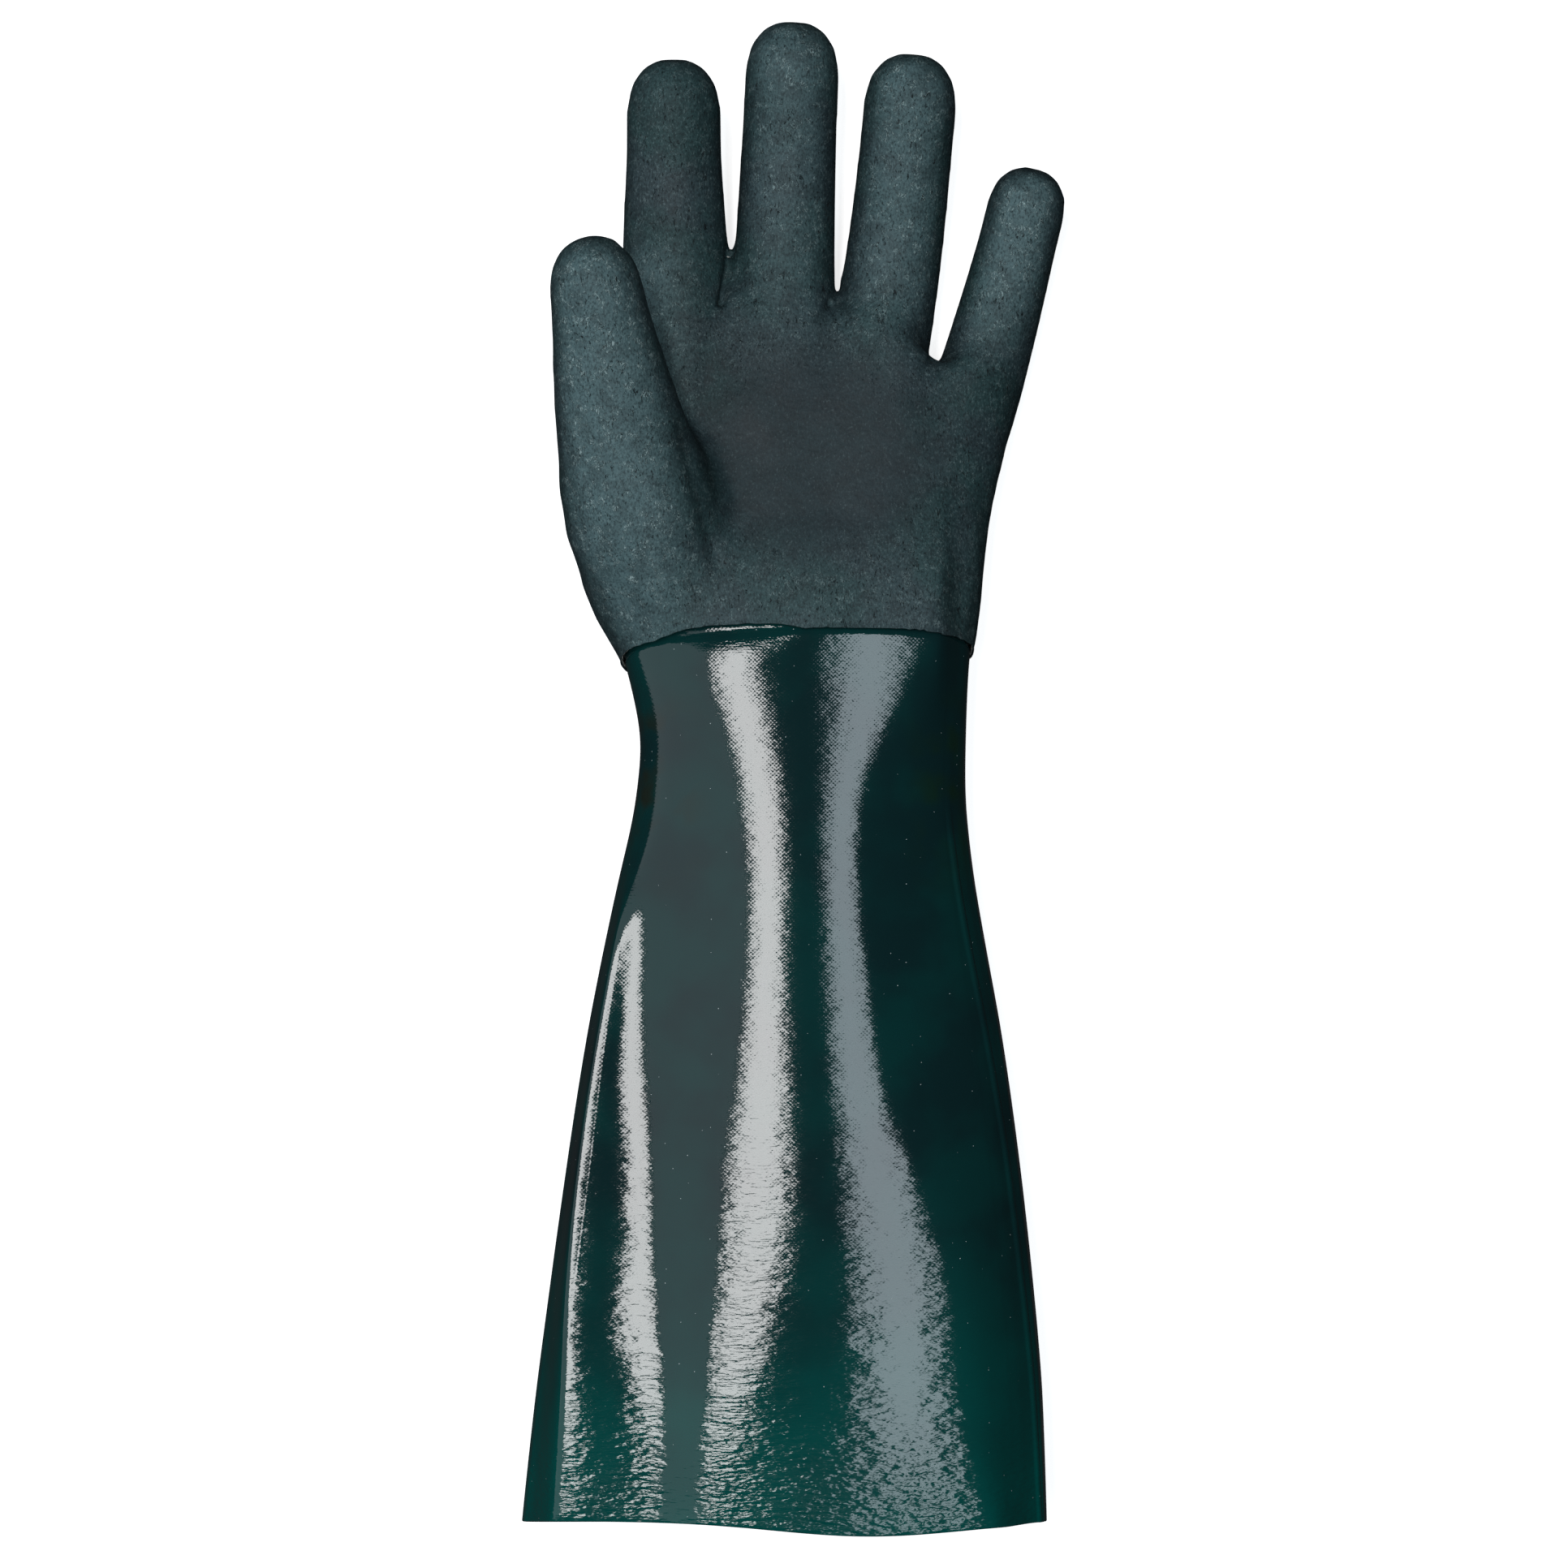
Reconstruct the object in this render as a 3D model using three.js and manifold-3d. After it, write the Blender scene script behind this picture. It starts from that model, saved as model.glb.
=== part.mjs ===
// A PVC-coated gauntlet work glove for the left hand, lying on its back with the palm up.
// Millimetres. X runs across the hand with the thumb at -X, Y from the cuff to the fingertips, Z up.
// While it is built, y = 0 is the edge of the matte hand coat and z = 0 is the surface it lies on.
// At the end the glove is moved so that its box is centred on X and Y.

import * as THREE from "three";
import Module from "manifold-3d";

// Walls, coats and gaps
const SLEEVE_WALL = 1.6;
const HAND_WALL = 2.4;
const COAT_STEP = 0.9; // how far the second, matte coat stands proud of the glossy one
const LAP_LENGTH = 11; // how far the sleeve runs on under the matte coat
const LAP_RECESS = 0.6; // the sleeve is this much thinner where it is covered
const GAP = 0.3; // between neighbouring pieces

// Sleeve, from the edge of the matte coat to the rim of the cuff
const SLEEVE_LENGTH = 259.6;
const CUFF_WIDTH = 156;
const CUFF_DEPTH = 62;
const WRIST_WIDTH = 95.6;
const WRIST_DEPTH = 47;
const WRIST_X = 3.4; // the wrist's middle
const CUFF_X = -2.4; // the cuff's middle, a little nearer the thumb's side
const COAT_EDGE_TILT = 20; // degrees, the coat ends further up the hand on the palm side
const COAT_EDGE_SKEW = 2.1; // degrees, it ends nearer the cuff on the thumb's side
const RIM_ROUND = 0.5; // how far the middle of the cut rim stands out

// Palm, from the edge of the matte coat to the crotches between the fingers
const PALM_LENGTH = 109.4;
const PALM_WIDTH = 120;
const PALM_DEPTH = 38;
const PALM_TONGUE = 10; // how far the palm runs on into each finger past the crotches beside it

// Fingers, of which the middle one is the longest
const FINGER_LENGTH = 125; // from its root, deep in the palm, to its tip
const FINGER_WIDTH = 31.5; // at the root
const FINGER_FLATNESS = 0.87; // depth of a finger as a share of its width
const FINGER_CURL = 9; // how far a fingertip rises above its root
const FINGER_REST = 0.6; // clearance of a finger's back above the surface
const CAP_ANGLES = [28, 52, 73]; // degrees, where the rings of a finger's round ends lie
const CAP_POWER = 0.9; // 1 is a round end, less is blunter

// Thumb, from its root in the heel of the hand to its tip
const THUMB_LENGTH = 109.5;
const THUMB_WIDTH = 45;
const THUMB_DEPTH = 37;
const THUMB_LEAN = -12.6; // degrees, seen from above
const THUMB_RISE = 20; // degrees above the surface
const THUMB_MARGIN = 0.9; // how far outside the coated thumb the palm is parted from it

// Side seam of the liner, which shows through the gloss coat as a low welt
const SEAM_WIDTH = 3.4;
const SEAM_HEIGHT = 0.7;

// Fineness of the faceted solids
const PALM_FACET = 6; // length of a facet's edge before the flatter ones are joined
const PALM_TOLERANCE = 0.48; // how far joining the palm's facets may move its surface
const CUT_TOLERANCE = 0.05; // the same after the pieces are cut apart
const STATIONS = 8; // stretches in which a digit is lofted
const DIGIT_SEGMENTS = 18;
const SLEEVE_SEGMENTS = 38;
const SLEEVE_RINGS = 12;
const RING_PASSES = 3; // rounds in which a tilted ring settles on its sections
const LAP_STEPS = [0, 0.5, 1]; // rings of the lapped stretch, as shares of its length
const CUTTER_STEPS = [-3, -1.5, 0, 0.5, 1]; // the same for what is taken out of the hand there

// The sleeve's sections. along: share of the sleeve's length. flare: share of the way from the wrist's
// size to the cuff's. lean: share of the way from the wrist's middle to the cuff's.
const SLEEVE_SECTIONS = [
  { along: 1.0, flare: 1.0, lean: 1.0 },
  { along: 0.9, flare: 0.945, lean: 0.84 },
  { along: 0.8, flare: 0.88, lean: 0.7 },
  { along: 0.6, flare: 0.68, lean: 0.55 },
  { along: 0.42, flare: 0.455, lean: 0.48 },
  { along: 0.26, flare: 0.19, lean: 0.4 },
  { along: 0.15, flare: 0.025, lean: 0.12 },
  { along: 0.1, flare: 0.0, lean: 0.0 },
];

// The palm's sections. along: share of the palm's length. left, right: sides as shares of its width.
// top: height as a share of its depth.
const PALM_SECTIONS = [
  { along: -0.1, left: -0.397, right: 0.437, top: 1.2 },
  { along: 0.0, left: -0.415, right: 0.437, top: 1.19 },
  { along: 0.04, left: -0.438, right: 0.446, top: 1.18 },
  { along: 0.155, left: -0.478, right: 0.461, top: 1.14 },
  { along: 0.27, left: -0.488, right: 0.472, top: 1.08 },
  { along: 0.405, left: -0.468, right: 0.489, top: 1.01 },
  { along: 0.54, left: -0.44, right: 0.516, top: 0.95 },
  { along: 0.68, left: -0.425, right: 0.546, top: 0.88 },
  { along: 0.82, left: -0.42, right: 0.578, top: 0.8 },
  { along: 1.0, left: -0.42, right: 0.63, top: 0.7 },
  { along: 1.145, left: -0.42, right: 0.68, top: 0.6 },
];

// Where the palm ends between the fingers. across: share of the palm's width. along: share of its length.
const CROTCHES = [
  { across: -0.5, along: 1.03 },
  { across: -0.155, along: 1.0 },
  { across: 0.1, along: 0.96 },
  { across: 0.36, along: 0.815 },
  { across: 0.6, along: 0.73 },
];

// The fingers. across, along: the root's place as shares of the palm's width and length. lean: degrees,
// away from the thumb. bow: sideways bend as a share of the finger's own length. length, rootWidth,
// tipWidth: shares of the named sizes. cut: where the stall is parted from the palm, as a share of the way
// from the root to the tip.
const FINGERS = [
  {
    name: "index_finger",
    across: -0.2615,
    along: 0.588,
    lean: -2.3,
    bow: -0.012,
    length: 0.914,
    rootWidth: 1.06,
    tipWidth: 0.832,
    cut: 0.55,
  },
  {
    name: "middle_finger",
    across: -0.028,
    along: 0.588,
    lean: 1.7,
    bow: -0.005,
    length: 1.0,
    rootWidth: 0.935,
    tipWidth: 0.83,
    cut: 0.49,
  },
  {
    name: "ring_finger",
    across: 0.172,
    along: 0.588,
    lean: 8.1,
    bow: 0.014,
    length: 0.932,
    rootWidth: 0.885,
    tipWidth: 0.82,
    cut: 0.46,
  },
  {
    name: "little_finger",
    across: 0.392,
    along: 0.507,
    lean: 15.9,
    bow: 0.01,
    length: 0.758,
    rootWidth: 0.8,
    tipWidth: 0.68,
    cut: 0.48,
  },
];

// A finger from root to tip. swell: share of the way from the tip's width to the root's. rise: share of
// the curl.
const FINGER_SECTIONS = [
  { along: 0.0, swell: 0.5, rise: 0.5 },
  { along: 0.1, swell: 0.85, rise: 0.2 },
  { along: 0.22, swell: 1.0, rise: 0.0 },
  { along: 0.4, swell: 0.86, rise: 0.03 },
  { along: 0.6, swell: 0.5, rise: 0.16 },
  { along: 0.8, swell: 0.16, rise: 0.48 },
  { along: 0.9, swell: 0.02, rise: 0.74 },
  { along: 1.0, swell: 0.0, rise: 1.0 },
];

// The thumb, which stands in front of the palm. up: the root's height as a share of the palm's depth.
const THUMB = { name: "thumb", across: -0.312, along: 0.184, up: 0.67, bow: -0.02, cut: 0.61 };
const THUMB_SECTIONS = [
  { along: 0.0, width: 0.6, depth: 0.6 },
  { along: 0.08, width: 0.86, depth: 0.84 },
  { along: 0.17, width: 1.0, depth: 0.98 },
  { along: 0.34, width: 0.96, depth: 0.95 },
  { along: 0.52, width: 0.83, depth: 0.84 },
  { along: 0.7, width: 0.72, depth: 0.76 },
  { along: 0.84, width: 0.63, depth: 0.69 },
  { along: 1.0, width: 0.55, depth: 0.63 },
];

// Soft dents in the hand, pressed from above. Places and radii are shares of the palm's width and length,
// depths are shares of the palm's depth.
const PALM_DENTS = [
  { x: 0.07, y: 0.54, acrossRadius: 0.3, alongRadius: 0.346, depth: 0.07 },
  { x: -0.19, y: 0.385, acrossRadius: 0.07, alongRadius: 0.29, depth: 0.08 },
];

// The valley that runs from each crotch into the palm, with the dents' measures.
const CROTCH_VALLEY = { below: 0.05, acrossRadius: 0.05, alongRadius: 0.12, depth: 0.08 };

// Soft folds that run down the sleeve. turn: place round the section, from 0 at +X through 0.25 on top.
// turnRadius: half width of the fold. start and full: shares of the sleeve's length where it begins and
// is deepest. depth: share of the cuff's depth, inwards.
const SLEEVE_FOLDS = [
  { turn: 0.432, turnRadius: 0.03, start: 0.25, full: 0.62, depth: 0.042 },
  { turn: 0.35, turnRadius: 0.05, start: 0.2, full: 0.7, depth: -0.016 },
  { turn: 0.25, turnRadius: 0.045, start: 0.3, full: 0.9, depth: 0.014 },
];

const SECTION_POWER = 2.25; // 2 is an ellipse, more is squarer
const WIDEST_LEVEL = 0.47; // height of the widest place, as a share of the section's height
const FLOOR_SAG = 2.5; // how far the round section would sink below the surface it is flattened on
const CROTCH_ROUND = 8; // radius-like size of the rounding where the palm ends between the fingers
const THUMB_BLEND = 10; // the same for the fillet between thumb and palm

const SEAM_TURN = 0.035; // the side seam's place round the sleeve's section
const SEAM_START = 0.14; // share of the sleeve's length where the seam starts to show
const SEAM_FULL = 0.24; // and where it has its full height
const SEAM_SPACING = 1.6; // no other edge runs nearer the seam than this many of its half widths
const TILT_END = 0.35; // share of the sleeve's length where its rings no longer follow the coat's edge
const DENTS_START = 2; // lap lengths from the coat's edge to where the palm's dents begin
const DENTS_FULL = 4; // and to where they have their full depth

const wasm = await Module();
wasm.setup();

const lerp = THREE.MathUtils.lerp;
const clamp = THREE.MathUtils.clamp;
const smoothstep = THREE.MathUtils.smoothstep;

// Reads a table of sections at one place, with smooth curves between its rows.
function readTable(rows, key, at) {
  const columns = Object.keys(rows[0]);
  const value = (row, column) => rows[clamp(row, 0, rows.length - 1)][column];
  const inside = clamp(at, rows[0][key], rows[rows.length - 1][key]);
  const above = rows.findIndex((row) => row[key] >= inside);
  const i = Math.max(1, above);
  const span = rows[i][key] - rows[i - 1][key];
  const t = (inside - rows[i - 1][key]) / span;
  const result = {};
  for (const column of columns) {
    const slope = (a) => {
      const run = value(a + 1, key) - value(a - 1, key);
      return run > 0 ? ((value(a + 1, column) - value(a - 1, column)) / run) * span : 0;
    };
    const [p0, p1] = [rows[i - 1][column], rows[i][column]];
    const [m0, m1] = [slope(i - 1), slope(i)];
    const [t2, t3] = [t * t, t * t * t];
    result[column] =
      (2 * t3 - 3 * t2 + 1) * p0 + (t3 - 2 * t2 + t) * m0 + (3 * t2 - 2 * t3) * p1 + (t3 - t2) * m1;
  }
  return result;
}

// The sides and the top of the body's section, from the cuff's rim to the crotches, as one table.
const BODY_SECTIONS = [
  ...SLEEVE_SECTIONS.map(({ along, flare, lean }) => {
    const half = lerp(WRIST_WIDTH, CUFF_WIDTH, flare) / 2;
    const middle = lerp(WRIST_X, CUFF_X, lean);
    return {
      y: -along * SLEEVE_LENGTH,
      left: middle - half,
      right: middle + half,
      top: lerp(WRIST_DEPTH, CUFF_DEPTH, flare),
    };
  }),
  ...PALM_SECTIONS.map(({ along, left, right, top }) => ({
    y: along * PALM_LENGTH,
    left: left * PALM_WIDTH,
    right: right * PALM_WIDTH,
    top: top * PALM_DEPTH,
  })),
];

const bodySection = (y) => readTable(BODY_SECTIONS, "y", y);

// How far up the hand the palm reaches at one place across it: a tongue in each finger between crotches.
function palmEnd(x) {
  const across = clamp(x / PALM_WIDTH, CROTCHES[0].across, CROTCHES.at(-1).across);
  const i = Math.max(1, CROTCHES.findIndex((row) => row.across >= across));
  const [a, b] = [CROTCHES[i - 1].across, CROTCHES[i].across];
  const tongue = PALM_TONGUE * Math.sin((Math.PI * (across - a)) / (b - a)) ** 2;
  return readTable(CROTCHES, "across", across).along * PALM_LENGTH + tongue;
}

const crotchValleys = CROTCHES.slice(1, -1).map(({ across, along }) => ({
  ...CROTCH_VALLEY,
  x: across,
  y: along - CROTCH_VALLEY.below,
}));

// The plane in which the matte coat ends, moved up the hand by a distance.
const [edgeRise, edgeSkew] = [COAT_EDGE_TILT, COAT_EDGE_SKEW].map((turn) =>
  Math.tan(THREE.MathUtils.degToRad(turn)),
);
const edgeLevel = WIDEST_LEVEL * bodySection(0).top;
const coatEdgeY = (x, z, moved = 0) => moved + edgeSkew * x + edgeRise * (z - edgeLevel);

// A distance-like value from a squashed round section: negative inside, positive outside.
function roundDistance(offsets, halves, power) {
  const length = Math.hypot(...offsets);
  const ratio = offsets.reduce((sum, o, i) => sum + Math.abs(o / halves[i]) ** power, 0) ** (1 / power);
  return length < 1e-9 ? -Math.min(...halves) : length * (1 - 1 / ratio);
}

function smoothMin(a, b, blend) {
  const h = clamp(0.5 + (0.5 * (b - a)) / blend, 0, 1);
  return lerp(b, a, h) - blend * h * (1 - h);
}

const smoothMax = (a, b, blend) => -smoothMin(-a, -b, blend);

// How deep the palm's dents are at one place. They start clear of the stretch that laps the sleeve.
function dentDepth(p) {
  const shown = smoothstep(p.y, DENTS_START * LAP_LENGTH, DENTS_FULL * LAP_LENGTH);
  return [...PALM_DENTS, ...crotchValleys].reduce((sum, dent) => {
    const across = (p.x / PALM_WIDTH - dent.x) / dent.acrossRadius;
    const along = (p.y / PALM_LENGTH - dent.y) / dent.alongRadius;
    return sum + shown * dent.depth * PALM_DEPTH * Math.exp(-across * across - along * along);
  }, 0);
}

// A distance-like value from the palm and heel of the hand, inset by a distance.
function palmDistance(p, inset) {
  const { left, right, top } = bodySection(p.y);
  const level = WIDEST_LEVEL * top;
  const above = p.z > level;
  const section = roundDistance(
    [p.x - (left + right) / 2, p.z - level],
    [(right - left) / 2 - inset, (above ? top - level : level + FLOOR_SAG) - inset],
    SECTION_POWER,
  );
  return smoothMax(section + (above ? dentDepth(p) : 0), p.y - palmEnd(p.x) + inset, CROTCH_ROUND);
}

// A digit as stations along its middle line. Each has its centre, its half sizes, and the directions along,
// across and through the digit. sizeAt gives half sizes and height above the straight line at a share of it.
function makeDigit({ name, root, lean, rise, length, bow, cut }, sizeAt) {
  const [turn, climb] = [lean, rise].map(THREE.MathUtils.degToRad);
  const level = Math.cos(climb);
  const heading = new THREE.Vector3(Math.sin(turn) * level, Math.cos(turn) * level, Math.sin(climb));
  const side = new THREE.Vector3(heading.y, -heading.x, 0).normalize();
  const straight = length - sizeAt(1).halfWidth;
  const stations = Array.from({ length: STATIONS + 1 }, (_, i) => {
    const along = i / STATIONS;
    const { halfWidth, halfDepth, lift } = sizeAt(along);
    const centre = root.clone().addScaledVector(heading, straight * along);
    centre.addScaledVector(side, bow * length * Math.sin(Math.PI * along));
    centre.z += lift;
    return { centre, halfWidth, halfDepth };
  });
  stations.forEach((station, i) => {
    const before = stations[Math.max(i - 1, 0)].centre;
    const after = stations[Math.min(i + 1, STATIONS)].centre;
    station.along = after.clone().sub(before).normalize();
    station.across = new THREE.Vector3(station.along.y, -station.along.x, 0).normalize();
    station.through = station.across.clone().cross(station.along);
  });
  return { name, cut, stations };
}

function makeFinger(row) {
  const root = new THREE.Vector3(row.across * PALM_WIDTH, row.along * PALM_LENGTH, 0);
  const measures = { ...row, root, rise: 0, length: row.length * FINGER_LENGTH };
  return makeDigit(measures, (along) => {
    const { swell, rise } = readTable(FINGER_SECTIONS, "along", along);
    const halfWidth = (lerp(row.tipWidth, row.rootWidth, swell) * FINGER_WIDTH) / 2;
    const halfDepth = halfWidth * FINGER_FLATNESS;
    return { halfWidth, halfDepth, lift: halfDepth + FINGER_REST + FINGER_CURL * rise };
  });
}

function makeThumb(row) {
  const root = new THREE.Vector3(row.across * PALM_WIDTH, row.along * PALM_LENGTH, row.up * PALM_DEPTH);
  const measures = { ...row, root, lean: THUMB_LEAN, rise: THUMB_RISE, length: THUMB_LENGTH };
  return makeDigit(measures, (along) => {
    const { width, depth } = readTable(THUMB_SECTIONS, "along", along);
    return { halfWidth: (width * THUMB_WIDTH) / 2, halfDepth: (depth * THUMB_DEPTH) / 2, lift: 0 };
  });
}

const fingers = FINGERS.map(makeFinger);
const thumb = makeThumb(THUMB);

// A distance-like value from a digit, inset by a distance.
function digitDistance({ stations }, p, inset) {
  const link = new THREE.Line3();
  const away = new THREE.Vector3();
  const values = stations.slice(1).map((b, i) => {
    const a = stations[i];
    link.set(a.centre, b.centre);
    const t = link.closestPointToPointParameter(p, true);
    away.subVectors(p, link.at(t, away));
    const halfWidth = lerp(a.halfWidth, b.halfWidth, t) - inset;
    const halfDepth = lerp(a.halfDepth, b.halfDepth, t) - inset;
    const offsets = [away.dot(a.across), away.dot(a.through), away.dot(a.along)];
    return roundDistance(offsets, [halfWidth, halfDepth, halfWidth], 2);
  });
  return Math.min(...values);
}

// The palm with the thumb, inset by a distance. It ends below the coat's edge, where it is cut off later.
const PALM_START = -2 * LAP_LENGTH;
function makePalmBody(inset) {
  const point = new THREE.Vector3();
  const depthInside = (place) => {
    point.fromArray(place);
    const hand = smoothMin(palmDistance(point, inset), digitDistance(thumb, point, inset), THUMB_BLEND);
    return -Math.max(hand, PALM_START - point.y);
  };
  const tip = thumb.stations.at(-1);
  const corners = BODY_SECTIONS.filter(({ y }) => y >= PALM_START).flatMap(({ y, left, right, top }) => [
    new THREE.Vector3(left, y, -FLOOR_SAG),
    new THREE.Vector3(right, y, top),
  ]);
  const box = new THREE.Box3().setFromPoints(corners);
  box.expandByPoint(tip.centre.clone().addScalar(tip.halfWidth));
  box.expandByPoint(tip.centre.clone().subScalar(tip.halfWidth));
  box.min.y = PALM_START;
  box.expandByScalar(2 * PALM_FACET);
  const bounds = { min: box.min.toArray(), max: box.max.toArray() };
  return wasm.Manifold.levelSet(depthInside, bounds, PALM_FACET, 0, CUT_TOLERANCE).simplify(PALM_TOLERANCE);
}

// A finger inset by a distance: rings along its middle line, and a round end at its root and its tip.
const endAngles = CAP_ANGLES.map(THREE.MathUtils.degToRad);
function makeFingerBody({ stations }, inset) {
  const round = (station, angle) => ({
    ...station,
    reach: Math.sin(angle),
    size: Math.cos(angle) ** CAP_POWER,
  });
  const sections = [
    ...endAngles.toReversed().map((angle) => round(stations[0], -angle)),
    ...stations.map((station) => round(station, 0)),
    ...endAngles.map((angle) => round(stations.at(-1), angle)),
  ];
  const rings = sections.map(({ centre, halfWidth, halfDepth, along, across, through, reach, size }) => {
    const middle = centre.clone().addScaledVector(along, reach * (halfWidth - inset));
    return Array.from({ length: DIGIT_SEGMENTS }, (_, i) => {
      const angle = (-2 * Math.PI * i) / DIGIT_SEGMENTS;
      const point = middle.clone().addScaledVector(across, size * (halfWidth - inset) * Math.cos(angle));
      return point.addScaledVector(through, size * (halfDepth - inset) * Math.sin(angle));
    });
  });
  return solidOf(loftRings(rings, false));
}

// The whole hand inset by a distance, flat on its back from a floor upwards.
function makeHandBody(inset, floor) {
  const bodies = fingers.map((finger) => makeFingerBody(finger, inset));
  return bodies.reduce((a, b) => a.add(b), makePalmBody(inset)).trimByPlane([0, 0, 1], floor);
}

// One ring of the sleeve. turned 0 is a ring square to the sleeve, 1 is parallel to the coat's edge.
function sleeveRing(y, inset, turned) {
  const share = clamp(-y / SLEEVE_LENGTH, 0, 1);
  const squarer = (value) => Math.sign(value) * Math.abs(value) ** (2 / SECTION_POWER);
  const lowest = inset + COAT_STEP * turned;
  return SLEEVE_TURNS.map((turn) => {
    const across = squarer(Math.cos(2 * Math.PI * turn));
    const upwards = squarer(Math.sin(2 * Math.PI * turn));
    const grown = sleeveRelief(turn, share) - inset;
    const point = new THREE.Vector3(0, y, 0);
    for (let pass = 0; pass < RING_PASSES; pass++) {
      const { left, right, top } = bodySection(point.y);
      const level = WIDEST_LEVEL * top;
      const halfHeight = (upwards > 0 ? top - level : level + FLOOR_SAG) + grown;
      point.x = (left + right) / 2 + ((right - left) / 2 + grown) * across;
      point.z = Math.max(level + halfHeight * upwards, lowest);
      point.y = y + turned * coatEdgeY(point.x, point.z);
    }
    return point;
  });
}

// How far the sleeve's folds and its side seam stand out of the plain section.
function sleeveRelief(turn, share) {
  const folds = SLEEVE_FOLDS.reduce((sum, fold) => {
    const away = (turn - fold.turn) / fold.turnRadius;
    const grown = smoothstep(share, fold.start, fold.full);
    return sum - fold.depth * CUFF_DEPTH * grown * Math.exp(-away * away);
  }, 0);
  const onSeam = Math.abs(turn - SEAM_TURN) < 1e-6 ? 1 : 0;
  return folds + SEAM_HEIGHT * onSeam * smoothstep(share, SEAM_START, SEAM_FULL);
}

// Places round the section: even steps, with three close ones at the side seam.
const cuffGirth = (Math.PI * (CUFF_WIDTH + CUFF_DEPTH)) / 2;
const seamTurn = SEAM_WIDTH / 2 / cuffGirth;
const evenTurns = Array.from({ length: SLEEVE_SEGMENTS }, (_, i) => i / SLEEVE_SEGMENTS);
const SLEEVE_TURNS = [
  ...evenTurns.filter((turn) => Math.abs(turn - SEAM_TURN) > SEAM_SPACING * seamTurn),
  SEAM_TURN - seamTurn,
  SEAM_TURN,
  SEAM_TURN + seamTurn,
].sort((a, b) => a - b);

// Joins rings of equal size. A closed list ends on its first ring, an open one has both ends capped.
function loftRings(rings, closed) {
  const count = rings[0].length;
  const positions = rings.flat().flatMap((p) => p.toArray());
  const triangles = [];
  const steps = closed ? rings.length : rings.length - 1;
  for (let r = 0; r < steps; r++)
    for (let i = 0; i < count; i++) {
      const next = (i + 1) % count;
      const above = (r + 1) % rings.length;
      const [a, b, c, d] = [r * count + i, r * count + next, above * count + next, above * count + i];
      triangles.push(a, b, c, a, c, d);
    }
  if (!closed)
    for (const [ring, flip] of [[0, true], [rings.length - 1, false]]) {
      const middle = positions.length / 3;
      const centre = rings[ring].reduce((sum, p) => sum.add(p), new THREE.Vector3()).divideScalar(count);
      positions.push(...centre.toArray());
      for (let i = 0; i < count; i++) {
        const [a, b] = [ring * count + i, ring * count + ((i + 1) % count)];
        triangles.push(...(flip ? [b, a, middle] : [a, b, middle]));
      }
    }
  return new THREE.BufferGeometry()
    .setAttribute("position", new THREE.Float32BufferAttribute(positions, 3))
    .setIndex(triangles);
}

// Heights of the sleeve's rings, from the rim to the coat's edge, and how far each is turned to it.
const SLEEVE_STEPS = Array.from({ length: SLEEVE_RINGS + 1 }, (_, i) => {
  const share = 1 - i / SLEEVE_RINGS;
  return { y: -share * SLEEVE_LENGTH, turned: 1 - smoothstep(share, 0, TILT_END) };
});

function makeSleeve() {
  const outer = SLEEVE_STEPS.map(({ y, turned }) => sleeveRing(y, 0, turned));
  const inner = SLEEVE_STEPS.map(({ y, turned }) => sleeveRing(y, SLEEVE_WALL, turned)).reverse();
  const lap = (inset) => LAP_STEPS.map((share) => sleeveRing(share * LAP_LENGTH, inset, 1));
  const rim = sleeveRing(-SLEEVE_LENGTH, SLEEVE_WALL / 2, 0).map((p) => p.setY(p.y - RIM_ROUND));
  const covered = [...lap(LAP_RECESS), ...lap(SLEEVE_WALL).reverse()];
  const rings = [rim, ...outer, ...covered, ...inner.slice(1)];
  return loftRings(rings.map((ring) => ring.reverse()), true);
}

// What the sleeve's end takes out of the hand: its own outside with the gap round it.
function makeLapCutter() {
  const heights = CUTTER_STEPS.map((share) => share * LAP_LENGTH + (share === 1 ? GAP : 0));
  const rings = heights.map((y) => sleeveRing(y, LAP_RECESS - GAP, 1));
  return loftRings(rings.map((ring) => ring.reverse()), false);
}

function solidOf(geometry) {
  return new wasm.Manifold(
    new wasm.Mesh({
      numProp: 3,
      vertProperties: new Float32Array(geometry.attributes.position.array),
      triVerts: new Uint32Array(geometry.index.array),
    }),
  );
}

function geometryOf(solid) {
  const mesh = solid.getMesh();
  const geometry = new THREE.BufferGeometry()
    .setAttribute("position", new THREE.BufferAttribute(new Float32Array(mesh.vertProperties), 3))
    .setIndex(new THREE.BufferAttribute(new Uint32Array(mesh.triVerts), 1));
  geometry.computeVertexNormals();
  return geometry;
}

// The plane in which a digit is parted from the palm.
function partingPlane({ cut, stations }) {
  const [a, b] = [Math.floor(cut * STATIONS), Math.ceil(cut * STATIONS)].map((i) => stations[i]);
  const point = a.centre.clone().lerp(b.centre, (cut * STATIONS) % 1);
  return new THREE.Plane().setFromNormalAndCoplanarPoint(a.along, point);
}

// Where a finger's side is at one height up the hand: side is -1 towards the thumb and 1 away from it.
function fingerSide({ stations }, y, side) {
  const i = stations.findIndex(({ centre }) => centre.y >= y);
  const [a, b] = [stations[i - 1], stations[i]];
  const t = (y - a.centre.y) / (b.centre.y - a.centre.y);
  return lerp(a.centre.x, b.centre.x, t) + (side * lerp(a.halfWidth, b.halfWidth, t)) / a.along.y;
}

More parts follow.
